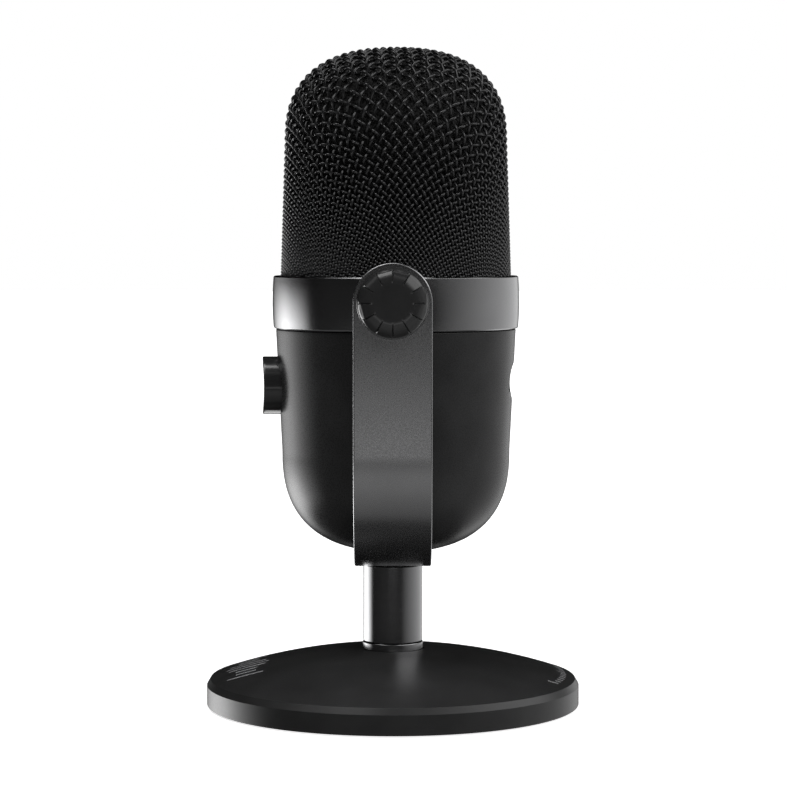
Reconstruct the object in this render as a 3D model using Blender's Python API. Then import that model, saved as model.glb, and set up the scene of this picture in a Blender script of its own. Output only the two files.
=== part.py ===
"""Desktop microphone: weighted round base, stem, strap yoke with two clamp knobs, and a capsule head.

Metres, +Z up. The origin is at the centre of the footprint, on the surface the base stands on.
The front, with the gain knob, faces -Y. The head tilts about an axis along X.
"""
import math

import bmesh
import bpy
from mathutils import Vector

# ---- Driving dimensions -------------------------------------------------------------------
GAP = 0.0003                    # left between pieces that touch on the real object
EDGE = 0.0004                   # broken edges, and the clearance round a loose shank

BASE_RADIUS = 0.0550
BASE_EDGE_HEIGHT = 0.0064       # top of the upright side wall
BASE_CHAMFER_RADIUS = 0.0539
BASE_CHAMFER_HEIGHT = 0.00825
BASE_DOME_RADIUS = 0.1676       # radius of the sphere that the top face is part of
BASE_UNDERSIDE = 0.0005
PAD_OUTER = 0.0507
PAD_INNER = 0.0115
PAD_THICKNESS = 0.0017
BOLT_POCKET_RADIUS = 0.0095
BOLT_POCKET_TOP = 0.0080
BOLT_RADIUS = 0.0040
BOLT_HEAD_RADIUS = 0.0070
BOLT_HEAD_LOW = 0.0023
BOLT_HEAD_HIGH = 0.0063
BOLT_SOCKET_RADIUS = 0.0032
BOLT_SOCKET_DEPTH = 0.0022
BOLT_TOP = 0.0305

STEM_RADIUS = 0.00874
STEM_BORE = 0.0065
STEM_FOOT = 0.0193
STEM_TOP = 0.0418
COLLAR_RADIUS = 0.0089
COLLAR_SEAT = 0.0164
LOWER_PLUG_TOP = 0.0310
UPPER_PLUG_FOOT = 0.0313
SWIVEL_WASHER_THICKNESS = 0.0009
SWIVEL_BOLT_RADIUS = 0.0025
SWIVEL_BOLT_FOOT = 0.0325
SWIVEL_HEAD_RADIUS = 0.0046

PIVOT_HEIGHT = 0.1200
YOKE_WIDTH = 0.0223
YOKE_THICKNESS = 0.0025
YOKE_OUTER = 0.0410             # outer face of each arm, from the middle
YOKE_CORNER_CENTRE_X = 0.0055
YOKE_CORNER_CENTRE_Z = 0.0776
STUD_RADIUS = 0.0025
STUD_INNER = 0.0305             # inner end of each clamp stud, from the middle
INSERT_RADIUS = 0.0045
INSERT_INNER = 0.0300
INSERT_OUTER = 0.0362
TILT_WASHER_RADIUS = 0.0085
TILT_WASHER_INNER = 0.0367
CLAMP_WASHER_RADIUS = 0.0078

HEAD_AXIS_Y = 0.0009            # the head's own axis sits just behind the stem's
BAND_BOTTOM = 0.11165
BAND_TOP = 0.1270
BAND_EDGE_RADIUS = 0.03595
BAND_MIDDLE_RADIUS = 0.03636
BAND_BORE = 0.0330
BAND_LEDGE = 0.1245             # the grille's foot stands on this ledge
BAND_LEDGE_RADIUS = 0.03435

CASING_TOP = 0.11135
CASING_TOP_RADIUS = 0.03525
CASING_TURN_HEIGHT = 0.07579    # the straight taper ends here and the bowl begins
CASING_TURN_RADIUS = 0.03348
CASING_BOTTOM = 0.04574
CASING_POWER = 2.52
CASING_WALL = 0.0021
CASING_LIP_TOP = 0.1120
CASING_LIP_FOOT = 0.1060
CASING_LIP_WALL = 0.0015
CASING_SCREW_RADIUS = 0.0015
CASING_SCREW_HEAD_RADIUS = 0.0031
CASING_SCREW_TOP = 0.0580

GRILLE_FOOT = 0.1248
GRILLE_FOOT_RADIUS = 0.03393
GRILLE_TURN_HEIGHT = 0.1660
GRILLE_TURN_RADIUS = 0.0327
GRILLE_TOP = 0.1937
GRILLE_POWER = 2.5
GRILLE_WALL = 0.0012
FOAM_FOOT = 0.1304
FOAM_WALL = 0.0025
FOAM_SPACE = 0.0008             # between the wire dome and the foam
RING_INNER = 0.0245
RING_STEP = 0.0310
RING_OUTER = 0.0320
RING_MIDDLE_HEIGHT = 0.1268
RING_TOP = 0.1300

PLATE_LOW = 0.1123              # plate across the bottom of the grille
PLATE_HIGH = 0.1146
PLATE_RADIUS = 0.0326
FRAME_POST_REACH = 0.0275       # frame posts from the head's axis, front and rear
FRAME_POST_RADIUS = 0.0030
FRAME_SCREW_RADIUS = 0.00125
SCREW_HEAD_RADIUS = 0.0022
SCREW_HEAD_HEIGHT = 0.0015
LEAD_HOLE_PLACE = (0.0130, -0.0070)
LEAD_HOLE_RADIUS = 0.0024
LEAD_RADIUS = 0.0006

CAPSULE_HEIGHT = 0.1520
CAPSULE_RADIUS = 0.0129
CAPSULE_HALF = 0.0060           # half its thickness, front to back
CAPSULE_FACE_RADIUS = 0.0105
CAPSULE_FACE_DEPTH = 0.0010
CRADLE_INNER = 0.0132
CRADLE_OUTER = 0.0170
CRADLE_HALF = 0.0040
POST_RADIUS = 0.0038
POST_TOP = 0.1347
POST_PIN_RADIUS = 0.0015
POST_PIN_FOOT = 0.1060
PIN_HOLE_RADIUS = 0.0018

SPINE_HALF_WIDTH = 0.0070
SPINE_BACK = 0.0043
SPINE_FOOT = 0.0490
BOARD_FRONT = -0.0030
BOARD_BACK = -0.0014
BOARD_HALF_WIDTH = 0.0240
BOARD_FOOT = 0.0620
BOARD_TOP = 0.1030
BOARD_SCREWS = (("upper", 0.0960), ("lower", 0.0680))
BOARD_SCREW_RADIUS = 0.0010
BOARD_SCREW_END = 0.0025        # behind the middle of the head

GAIN_HEIGHT = 0.09475
GAIN_RADIUS = 0.0085
GAIN_FACE_Y = -0.0384
GAIN_BACK_Y = -0.0318
GAIN_SCOOP_RADIUS = 0.0480
GAIN_SCOOP_DEPTH = 0.00075
PRESS_TRAVEL = 0.0005
SHAFT_RADIUS = 0.0030
SHAFT_BACK = 0.0245             # depths in front of the middle of the head, as all below
SHAFT_FRONT = 0.0358
PLUNGER_RADIUS = 0.0026
PLUNGER_FRONT = 0.0242
ENCODER_HALF = 0.0060
ENCODER_FRONT = 0.0310
ENCODER_BACK = 0.0225
ENCODER_BOARD_HALF_WIDTH = 0.0090
ENCODER_BOARD_HALF_HEIGHT = 0.0080
ENCODER_BOARD_FRONT = 0.0222
ENCODER_BOARD_BACK = 0.0208

PORT_HEIGHT = 0.0963
PORT_WIDTH = 0.0200
PORT_TALL = 0.0110
PORT_GROOVE_DEPTH = 0.00095
PORT_CUT_Y = 0.036              # cutters for the sockets are centred on the rear wall
BEZEL_BACK = 0.0312
USB_X = -0.0043
USB_WIDTH = 0.0090
USB_TALL = 0.0033
USB_WALL = 0.0003
USB_DEPTH = 0.0085
USB_MIDDLE_Y = 0.0285
USB_MOUTH_DEPTH = 0.0070
USB_MOUTH_MIDDLE_Y = 0.0300
TONGUE_HALF_WIDTH = 0.0033
TONGUE_HALF_HEIGHT = 0.00035
TONGUE_BACK = 0.0268
TONGUE_FRONT = 0.0318
JACK_X = 0.0056
JACK_RADIUS = 0.0029
JACK_BORE = 0.0018
JACK_MOUTH = 0.0330
JACK_BOTTOM = 0.0225
JACK_END = 0.0215
PORT_BOARD_HALF_WIDTH = 0.0105
PORT_BOARD_REACH = (0.0150, 0.0300)
PORT_BOARD_HEIGHTS = (0.0915, 0.0928)

KNOB_RADIUS = 0.0101
KNOB_INNER = 0.0422
KNOB_OUTER = 0.0500
KNOB_LOBES = 12
KNOB_LOBE_DEPTH = 0.025         # share of the radius lost between two lobes
KNOB_LOBE_START = 0.0085
KNOB_FLAT_RADIUS = 0.0052
KNOB_SHOULDER_RADIUS = 0.0088
KNOB_RIM_RADIUS = 0.0098
KNOB_BORE_DEPTH = 0.0056
STUD_GRIP = 0.0053              # length of each stud inside its knob

LARGE, MEDIUM, SMALL = 40, 28, 16   # sides of a round piece, by its size


# ---- Materials ----------------------------------------------------------------------------
def material(name, colour, roughness, metallic=0.0):
    mat = bpy.data.materials.new(name)
    mat.use_nodes = True
    shader = mat.node_tree.nodes["Principled BSDF"]
    shader.inputs["Base Color"].default_value = (*colour, 1.0)
    shader.inputs["Roughness"].default_value = roughness
    shader.inputs["Metallic"].default_value = metallic
    mat.diffuse_color = (*colour, 1.0)
    return mat


def make_materials():
    return {
        "base_paint": material("base_paint", (0.045, 0.045, 0.047), 0.42),
        "dark_metal": material("dark_metal", (0.16, 0.16, 0.165), 0.30, 1.0),
        "steel": material("steel", (0.55, 0.55, 0.56), 0.32, 1.0),
        "brass": material("brass", (0.78, 0.60, 0.28), 0.35, 1.0),
        "casing_plastic": material("casing_plastic", (0.022, 0.022, 0.023), 0.38),
        "knob_plastic": material("knob_plastic", (0.025, 0.025, 0.026), 0.30),
        "grille_wire": material("grille_wire", (0.03, 0.03, 0.03), 0.35, 0.6),
        "foam": material("foam", (0.012, 0.012, 0.012), 0.95),
        "rubber": material("rubber", (0.02, 0.02, 0.02), 0.80),
        "board": material("board", (0.02, 0.10, 0.05), 0.55),
        "capsule_metal": material("capsule_metal", (0.60, 0.58, 0.52), 0.35, 1.0),
        "nylon": material("nylon", (0.72, 0.71, 0.68), 0.55),
    }


# ---- Building blocks ----------------------------------------------------------------------
def new_object(name, bm, mat):
    bmesh.ops.recalc_face_normals(bm, faces=bm.faces)
    mesh = bpy.data.meshes.new(name)
    bm.to_mesh(mesh)
    bm.free()
    mesh.materials.append(mat)
    mesh.shade_smooth()
    mesh.set_sharp_from_angle(angle=math.radians(32))
    obj = bpy.data.objects.new(name, mesh)
    bpy.context.scene.collection.objects.link(obj)
    return obj


def turned(name, outline, mat, steps=MEDIUM, place=(0, 0, 0), turn=(0, 0, 0)):
    """Turn a closed (radius, height) outline about local Z; points at radius 0 close on the axis."""
    bm = bmesh.new()
    verts = [bm.verts.new((radius, 0, height)) for radius, height in outline]
    edges = []
    for first, second in zip(verts, verts[1:] + verts[:1]):
        on_axis = first.co.x == 0 and second.co.x == 0
        if not on_axis:
            edges.append(bm.edges.new((first, second)))
    bmesh.ops.spin(bm, geom=verts + edges, cent=(0, 0, 0), axis=(0, 0, 1),
                   angle=math.tau, steps=steps, use_merge=True)
    bmesh.ops.remove_doubles(bm, verts=bm.verts, dist=1e-7)
    obj = new_object(name, bm, mat)
    obj.location = place
    obj.rotation_euler = turn
    return obj


def extruded(name, outline, depth, mat, place=(0, 0, 0), turn=(0, 0, 0)):
    """Extrude a flat (x, y) outline along local Z by depth, centred on z = 0."""
    bm = bmesh.new()
    face = bm.faces.new([bm.verts.new((x, y, -depth / 2)) for x, y in outline])
    grown = bmesh.ops.extrude_face_region(bm, geom=[face])
    moved = [item for item in grown["geom"] if isinstance(item, bmesh.types.BMVert)]
    bmesh.ops.translate(bm, verts=moved, vec=(0, 0, depth))
    obj = new_object(name, bm, mat)
    obj.location = place
    obj.rotation_euler = turn
    return obj


def block(name, low, high, mat):
    """A rectangular block between two corners, with its origin at its middle."""
    size = Vector(high) - Vector(low)
    half_x, half_y = size.x / 2, size.y / 2
    outline = [(-half_x, -half_y), (half_x, -half_y), (half_x, half_y), (-half_x, half_y)]
    return extruded(name, outline, size.z, mat, place=(Vector(low) + Vector(high)) / 2)


def tube_outline(inner, outer, low, high):
    return [(inner, high), (outer, high), (outer, low), (inner, low)]


def rod_outline(radius, low, high):
    return [(0, high), (radius, high), (radius, low), (0, low)]


def pill_outline(width, height, corner_steps=6):
    """A rounded slot, wider than it is tall."""
    radius = height / 2
    reach = width / 2 - radius
    points = []
    for side in (1, -1):
        for step in range(corner_steps + 1):
            angle = -math.pi / 2 + math.pi * step / corner_steps
            points.append((side * (reach + radius * math.cos(angle)), side * radius * math.sin(angle)))
    return points


def quarter_curve(side, rise, power, steps):
    """Superellipse quarter from (side, 0) up to (0, rise), as (radius, height) pairs."""
    points = []
    for step in range(steps + 1):
        angle = math.pi / 2 * step / steps
        radius = side * max(math.cos(angle), 0.0) ** (2 / power)
        points.append((radius if step < steps else 0.0, rise * math.sin(angle) ** (2 / power)))
    return points


def cut(target, cutter, operation="DIFFERENCE"):
    """Cut one object with another, which stays as a hidden guide that moves with it."""
    cutter.hide_render = True
    cutter.display_type = "WIRE"
    hang(cutter, target)
    change = target.modifiers.new(cutter.name, "BOOLEAN")
    change.operation = operation
    change.object = cutter
    change.solver = "EXACT"


def cut_hole(target, name, radius, low, high, place, turn=(0, 0, 0), steps=SMALL):
    """Drill a round hole along the local Z of place and turn, from low to high."""
    cut(target, turned(name, rod_outline(radius, low, high), target.data.materials[0], steps, place, turn))


def pivot(name, place, parent=None):
    """An empty on a joint's axis, at a world position."""
    empty = bpy.data.objects.new(name, None)
    empty.location = place
    bpy.context.scene.collection.objects.link(empty)
    if parent:
        hang(empty, parent)
    return empty


def hang(obj, parent):
    """Parent an object so that its location and rotation stay world values at rest."""
    obj.parent = parent
    obj.matrix_parent_inverse = parent.matrix_basis.inverted()


TO_X = (0, math.pi / 2, 0)          # local Z points along +X
TO_MINUS_X = (0, -math.pi / 2, 0)
TO_FRONT = (math.pi / 2, 0, 0)      # local Z points along -Y
TO_REAR = (-math.pi / 2, 0, 0)      # local Z points along +Y


# ---- Stand --------------------------------------------------------------------------------
def dome_height(radius):
    """Height of the base's domed top at a radius from the middle."""
    drop = math.sqrt(BASE_DOME_RADIUS ** 2 - BASE_CHAMFER_RADIUS ** 2)
    return BASE_CHAMFER_HEIGHT + math.sqrt(BASE_DOME_RADIUS ** 2 - radius ** 2) - drop


def make_base(mats):
    hole = BOLT_RADIUS + GAP
    seat = COLLAR_RADIUS + GAP
    outline = [(hole, COLLAR_SEAT), (seat, COLLAR_SEAT)]
    dome_steps = 4
    for step in range(dome_steps + 1):
        radius = seat + (BASE_CHAMFER_RADIUS - seat) * step / dome_steps
        outline.append((radius, dome_height(radius)))
    pad_recess = PAD_THICKNESS + GAP
    pocket_rim = BASE_UNDERSIDE + 0.0010
    outline += [
        (BASE_RADIUS, BASE_EDGE_HEIGHT),
        (BASE_RADIUS, BASE_UNDERSIDE + EDGE),
        (BASE_RADIUS - EDGE, BASE_UNDERSIDE),
        (PAD_OUTER + GAP, BASE_UNDERSIDE),
        (PAD_OUTER + GAP, pad_recess),
        (PAD_INNER - GAP, pad_recess),
        (PAD_INNER - GAP, pocket_rim),
        (BOLT_POCKET_RADIUS, pocket_rim),
        (BOLT_POCKET_RADIUS, BOLT_POCKET_TOP),
        (hole, BOLT_POCKET_TOP),
    ]
    turned("base_disc", outline, mats["base_paint"], LARGE)
    turned("base_pad", tube_outline(PAD_INNER, PAD_OUTER, 0, PAD_THICKNESS), mats["rubber"], LARGE)


def make_stem(mats):
    socket_end = BOLT_HEAD_LOW + BOLT_SOCKET_DEPTH
    bolt = [(0, BOLT_TOP), (BOLT_RADIUS, BOLT_TOP), (BOLT_RADIUS, BOLT_HEAD_HIGH),
            (BOLT_HEAD_RADIUS, BOLT_HEAD_HIGH), (BOLT_HEAD_RADIUS, BOLT_HEAD_LOW),
            (BOLT_SOCKET_RADIUS, BOLT_HEAD_LOW), (BOLT_SOCKET_RADIUS, socket_end), (0, socket_end)]
    turned("stem_bolt", bolt, mats["steel"], SMALL)
    bolt_hole = BOLT_RADIUS + GAP
    bolt_washer = tube_outline(bolt_hole, 0.0080, BOLT_HEAD_HIGH + GAP, BOLT_POCKET_TOP - GAP)
    turned("stem_washer", bolt_washer, mats["steel"], SMALL)
    collar_top = STEM_FOOT - GAP
    collar_foot = COLLAR_SEAT + GAP
    collar = [(bolt_hole, collar_top), (COLLAR_RADIUS - GAP, collar_top),
              (COLLAR_RADIUS, collar_top - GAP), (COLLAR_RADIUS, collar_foot), (bolt_hole, collar_foot)]
    turned("stem_collar", collar, mats["dark_metal"], MEDIUM)
    tube = tube_outline(STEM_BORE, STEM_RADIUS, STEM_FOOT, STEM_TOP)
    turned("stem_tube", tube, mats["dark_metal"], MEDIUM)
    plug = STEM_BORE - GAP
    lower = tube_outline(bolt_hole, plug, STEM_FOOT + GAP, LOWER_PLUG_TOP)
    turned("stem_lower_plug", lower, mats["steel"], SMALL)
    swivel_hole = SWIVEL_BOLT_RADIUS + GAP
    washer_foot = STEM_TOP - SWIVEL_WASHER_THICKNESS
    upper = tube_outline(swivel_hole, plug, UPPER_PLUG_FOOT, washer_foot - GAP)
    turned("stem_upper_plug", upper, mats["steel"], SMALL)
    washer = tube_outline(swivel_hole, plug, washer_foot, STEM_TOP)
    turned("swivel_washer", washer, mats["nylon"], SMALL)
    head_top = YOKE_CORNER_CENTRE_Z - corner_radius() + YOKE_THICKNESS - 0.0002
    cone_foot = head_top - (SWIVEL_HEAD_RADIUS - SWIVEL_BOLT_RADIUS)
    swivel = [(0, head_top), (SWIVEL_HEAD_RADIUS, head_top), (SWIVEL_BOLT_RADIUS, cone_foot),
              (SWIVEL_BOLT_RADIUS, SWIVEL_BOLT_FOOT), (0, SWIVEL_BOLT_FOOT)]
    turned("swivel_bolt", swivel, mats["steel"], SMALL)


# ---- Yoke ---------------------------------------------------------------------------------
def corner_radius():
    """Outer radius of the strap's two bottom bends."""
    return YOKE_OUTER - YOKE_CORNER_CENTRE_X


def yoke_outline(corner_steps=10):
    """The strap's edge, seen from the front: down the outside and back up the inside."""
    top = PIVOT_HEIGHT + YOKE_WIDTH / 2
    half = []
    for step in range(corner_steps + 1):
        angle = math.pi / 2 * step / corner_steps
        half.append((math.cos(angle), math.sin(angle)))

    def bend(radius):
        right = [(YOKE_CORNER_CENTRE_X + radius * c, YOKE_CORNER_CENTRE_Z - radius * s) for c, s in half]
        return [(YOKE_CORNER_CENTRE_X + radius, top)] + right

    outer = bend(corner_radius())
    inner = bend(corner_radius() - YOKE_THICKNESS)
    across = outer + [(-x, z) for x, z in reversed(outer)]
    back = inner + [(-x, z) for x, z in reversed(inner)]
    return across + list(reversed(back))


def round_end_outline(steps=16):
    """A tall blank with one round end, as wide as the strap."""
    radius = YOKE_WIDTH / 2
    arc = [(radius * math.cos(math.pi * i / steps), PIVOT_HEIGHT + radius * math.sin(math.pi * i / steps))
           for i in range(steps + 1)]
    return arc + [(-radius, 0.030), (radius, 0.030)]


def make_yoke(mats, swivel):
    strap = extruded("yoke_strap", yoke_outline(), YOKE_WIDTH + 0.002, mats["dark_metal"], turn=TO_FRONT)
    blank = extruded("cut_round_ends", round_end_outline(), 0.100, mats["dark_metal"],
                     turn=(math.pi / 2, 0, math.pi / 2))
    cut(strap, blank, "INTERSECT")
    cut_hole(strap, "cut_stud_holes", STUD_RADIUS + EDGE, -0.060, 0.060, (0, 0, PIVOT_HEIGHT), TO_X)
    bottom = YOKE_CORNER_CENTRE_Z - corner_radius()
    head_hole = SWIVEL_HEAD_RADIUS + GAP
    shank_hole = SWIVEL_BOLT_RADIUS + EDGE
    cone_foot = bottom + YOKE_THICKNESS - (head_hole - shank_hole)
    sink = [(0, bottom + 0.006), (head_hole, bottom + 0.006), (head_hole, bottom + YOKE_THICKNESS),
            (shank_hole, cone_foot), (shank_hole, bottom - 0.003), (0, bottom - 0.003)]
    cut(strap, turned("cut_swivel_hole", sink, mats["dark_metal"], SMALL))
    hang(strap, swivel)


# ---- Head shells --------------------------------------------------------------------------
def make_band(mats):
    outer = []
    steps = 6
    for step in range(steps + 1):
        share = step / steps
        swell = 1 - (2 * share - 1) ** 2
        height = BAND_TOP + (BAND_BOTTOM - BAND_TOP) * share
        outer.append((BAND_EDGE_RADIUS + (BAND_MIDDLE_RADIUS - BAND_EDGE_RADIUS) * swell, height))
    outline = [(BAND_LEDGE_RADIUS, BAND_TOP)] + outer
    outline += [(BAND_BORE, BAND_BOTTOM), (BAND_BORE, BAND_LEDGE), (BAND_LEDGE_RADIUS, BAND_LEDGE)]
    band = turned("trim_band", outline, mats["dark_metal"], LARGE, (0, HEAD_AXIS_Y, 0))
    cut_hole(band, "cut_insert_holes", INSERT_RADIUS + GAP, -0.045, 0.045, (0, 0, PIVOT_HEIGHT), TO_X)
    return band


def bowl(shrink, steps):
    """Casing outline from the end of the taper down to the pole, drawn in by shrink."""
    side = CASING_TURN_RADIUS - shrink
    depth = CASING_TURN_HEIGHT - CASING_BOTTOM - shrink
    curve = quarter_curve(side, depth, CASING_POWER, steps)
    return [(radius, CASING_TURN_HEIGHT - drop) for radius, drop in curve]


def make_casing(mats):
    lip_outer = BAND_BORE - GAP
    lip_inner = lip_outer - CASING_LIP_WALL
    outer = [(CASING_TOP_RADIUS, CASING_TOP)] + bowl(0, 10)
    inner = [(lip_inner, CASING_LIP_FOOT)] + bowl(CASING_WALL, 6)
    outline = [(lip_inner, CASING_LIP_TOP), (lip_outer, CASING_LIP_TOP), (lip_outer, CASING_TOP)] + outer
    outline += list(reversed(inner))
    casing = turned("lower_casing", outline, mats["casing_plastic"], LARGE, (0, HEAD_AXIS_Y, 0))
    gain_centre = (0, 0, GAIN_HEIGHT)
    cut_hole(casing, "cut_gain_hole", GAIN_RADIUS + EDGE, 0.020, 0.045, gain_centre, TO_FRONT, MEDIUM)
    screw_place = (0, HEAD_AXIS_Y, CASING_BOTTOM)
    cut_hole(casing, "cut_screw_hole", CASING_SCREW_RADIUS + EDGE, -0.001, 0.006, screw_place)
    cut_hole(casing, "cut_screw_sink", CASING_SCREW_HEAD_RADIUS + EDGE, -0.001, 0.0010, screw_place)
    bay = pill_outline(PORT_WIDTH + 2 * GAP, PORT_TALL + 2 * GAP)
    bay_centre = (0, PORT_CUT_Y, PORT_HEIGHT)
    cut(casing, extruded("cut_port_bay", bay, 0.020, mats["casing_plastic"], bay_centre, TO_REAR))
    return casing


def dome(shrink, steps):
    """Grille outline from the end of its taper up to the pole, drawn in by shrink."""
    side = GRILLE_TURN_RADIUS - shrink
    rise = GRILLE_TOP - GRILLE_TURN_HEIGHT - shrink
    curve = quarter_curve(side, rise, GRILLE_POWER, steps)
    return [(radius, GRILLE_TURN_HEIGHT + height) for radius, height in curve]


def shell_outline(foot, outside, wall, outer_steps, inner_steps):
    """Closed outline of a domed shell whose outer face lies outside metres in from the grille's."""
    outer = [(GRILLE_FOOT_RADIUS - outside, foot)] + dome(outside, outer_steps)
    inner = [(GRILLE_FOOT_RADIUS - outside - wall, foot)] + dome(outside + wall, inner_steps)
    return outer + list(reversed(inner))


def make_grille(mats):
    place = (0, HEAD_AXIS_Y, 0)
    grille_outline = shell_outline(GRILLE_FOOT, 0, GRILLE_WALL, 8, 5)
    grille = turned("grille", grille_outline, mats["grille_wire"], LARGE, place)
    foam_outline = shell_outline(FOAM_FOOT, GRILLE_WALL + FOAM_SPACE, FOAM_WALL, 6, 4)
    foam = turned("foam_liner", foam_outline, mats["foam"], MEDIUM, place)
    ring = [(RING_STEP, RING_TOP), (RING_OUTER, RING_TOP), (RING_OUTER, GRILLE_FOOT),
            (RING_INNER, GRILLE_FOOT), (RING_INNER, RING_MIDDLE_HEIGHT), (RING_STEP, RING_MIDDLE_HEIGHT)]
    grille_ring = turned("grille_ring", ring, mats["steel"], MEDIUM, place)
    return [grille, foam, grille_ring]


# ---- Inside the head ----------------------------------------------------------------------
def make_frame(mats):
    frame = turned("inner_frame", rod_outline(PLATE_RADIUS, PLATE_LOW, PLATE_HIGH), mats["casing_plastic"],
                   MEDIUM, (0, HEAD_AXIS_Y, 0))
    pieces = [frame]
    hole = FRAME_SCREW_RADIUS + GAP
    cut_low, cut_high = 0.110, 0.118
    for side, label in ((-1, "front"), (1, "rear")):
        place = (0, HEAD_AXIS_Y + side * FRAME_POST_REACH, 0)
        cut_hole(frame, "cut_frame_" + label, hole, cut_low, cut_high, place)
        post = tube_outline(hole, FRAME_POST_RADIUS, PLATE_HIGH + GAP, BAND_LEDGE)
        pieces.append(turned("frame_post_" + label, post, mats["brass"], SMALL, place))
        head_top = PLATE_LOW - GAP
        screw = screw_outline(BAND_LEDGE, FRAME_SCREW_RADIUS, head_top, head_top - SCREW_HEAD_HEIGHT)
        pieces.append(turned("frame_screw_" + label, screw, mats["steel"], SMALL, place))
    cut_hole(frame, "cut_post_hole", PIN_HOLE_RADIUS, cut_low, cut_high, (0, HEAD_AXIS_Y, 0))
    cut_hole(frame, "cut_lead_hole", LEAD_HOLE_RADIUS, cut_low, cut_high, (*LEAD_HOLE_PLACE, 0))
    return pieces


def screw_outline(end, radius, head_near, head_far):
    """A headed screw along the axis: shank from its end to the head, then the head."""
    return [(0, end), (radius, end), (radius, head_near), (SCREW_HEAD_RADIUS, head_near),
            (SCREW_HEAD_RADIUS, head_far), (0, head_far)]


def make_capsule(mats):
    centre = (0, HEAD_AXIS_Y, CAPSULE_HEIGHT)
    post = [(0, POST_TOP), (POST_RADIUS, POST_TOP), (POST_RADIUS, PLATE_HIGH + GAP),
            (POST_PIN_RADIUS, PLATE_HIGH + GAP), (POST_PIN_RADIUS, POST_PIN_FOOT), (0, POST_PIN_FOOT)]
    holder = turned("capsule_post", post, mats["casing_plastic"], SMALL, (0, HEAD_AXIS_Y, 0))
    cradle_outline = tube_outline(CRADLE_INNER, CRADLE_OUTER, -CRADLE_HALF, CRADLE_HALF)
    cradle = turned("capsule_cradle", cradle_outline, mats["rubber"], MEDIUM, centre, TO_FRONT)
    face = CAPSULE_HALF - CAPSULE_FACE_DEPTH
    outline = [(0, face), (CAPSULE_FACE_RADIUS, face), (CAPSULE_FACE_RADIUS + GAP, CAPSULE_HALF),
               (CAPSULE_RADIUS, CAPSULE_HALF), (CAPSULE_RADIUS, -CAPSULE_HALF), (0, -CAPSULE_HALF)]
    capsule = turned("capsule", outline, mats["capsule_metal"], MEDIUM, centre, TO_FRONT)
    return [holder, cradle, capsule]


def make_capsule_lead(mats):
    """Wire from the back of the capsule, through the frame plate, down to the board."""
    route = [Vector(point) for point in (
        (0.0060, 0.0080, 0.1450), (0.0095, 0.0092, 0.1400), (0.0125, 0.0050, 0.1320),
        (0.0132, -0.0030, 0.1230), (0.0130, -0.0068, 0.1150), (0.0130, -0.0072, 0.1100),
        (0.0130, -0.0068, 0.1055), (0.0130, -0.0052, 0.1020))]
    curve = bpy.data.curves.new("capsule_lead", "CURVE")
    curve.dimensions = "3D"
    curve.bevel_depth = LEAD_RADIUS
    curve.bevel_resolution = 1
    curve.use_fill_caps = True
    points = smooth_path(route, 3)
    spline = curve.splines.new("POLY")
    spline.points.add(len(points) - 1)
    for slot, point in zip(spline.points, points):
        slot.co = (*point, 1.0)
    curve.materials.append(mats["rubber"])
    lead = bpy.data.objects.new("capsule_lead", curve)
    bpy.context.scene.collection.objects.link(lead)
    return [lead]


def smooth_path(route, steps):
    """Points along a Catmull-Rom curve through the route."""
    padded = [route[0] * 2 - route[1]] + route + [route[-1] * 2 - route[-2]]
    points = []
    for a, b, c, d in zip(padded, padded[1:], padded[2:], padded[3:]):
        for step in range(steps):
            t = step / steps
            points.append(((b * 2) + (c - a) * t + (a * 2 - b * 5 + c * 4 - d) * t ** 2
                           + (b * 3 - a - c * 3 + d) * t ** 3) / 2)
    return points + [route[-1]]


def make_spine_and_board(mats):
    spine = block("spine", (-SPINE_HALF_WIDTH, BOARD_BACK + GAP, SPINE_FOOT),
                  (SPINE_HALF_WIDTH, SPINE_BACK, PLATE_LOW - GAP), mats["casing_plastic"])
    cut_hole(spine, "cut_spine_top", PIN_HOLE_RADIUS, 0.1050, 0.1150, (0, HEAD_AXIS_Y, 0))
    cut_hole(spine, "cut_spine_foot", PIN_HOLE_RADIUS, 0.0470, 0.0590, (0, HEAD_AXIS_Y, 0))
    board = block("main_board", (-BOARD_HALF_WIDTH, BOARD_FRONT, BOARD_FOOT),
                  (BOARD_HALF_WIDTH, BOARD_BACK, BOARD_TOP), mats["board"])
    pieces = [spine, board]
    hole = BOARD_SCREW_RADIUS + GAP
    head = -BOARD_FRONT + GAP
    screw = screw_outline(-BOARD_SCREW_END, BOARD_SCREW_RADIUS, head, head + SCREW_HEAD_HEIGHT)
    for label, height in BOARD_SCREWS:
        place = (0, 0, height)
        cut_hole(board, "cut_board_" + label, hole, 0.0, 0.0050, place, TO_FRONT)
        cut_hole(spine, "cut_spine_" + label, hole, -0.0030, 0.0050, place, TO_FRONT)
        pieces.append(turned("board_screw_" + label, screw, mats["steel"], SMALL, place, TO_FRONT))
    head_low = CASING_BOTTOM + 0.0001
    head_high = head_low + 0.0006
    screw = [(0, CASING_SCREW_TOP), (CASING_SCREW_RADIUS, CASING_SCREW_TOP),
             (CASING_SCREW_RADIUS, head_high), (CASING_SCREW_HEAD_RADIUS, head_high),
             (CASING_SCREW_HEAD_RADIUS, head_low), (0, head_low)]
    pieces.append(turned("casing_screw", screw, mats["steel"], SMALL, (0, HEAD_AXIS_Y, 0)))
    return pieces


# ---- Rear sockets -------------------------------------------------------------------------
def casing_radius(height):
    """Outer radius of the casing's straight taper."""
    share = (height - CASING_TURN_HEIGHT) / (CASING_TOP - CASING_TURN_HEIGHT)
    return CASING_TURN_RADIUS + (CASING_TOP_RADIUS - CASING_TURN_RADIUS) * share


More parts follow.
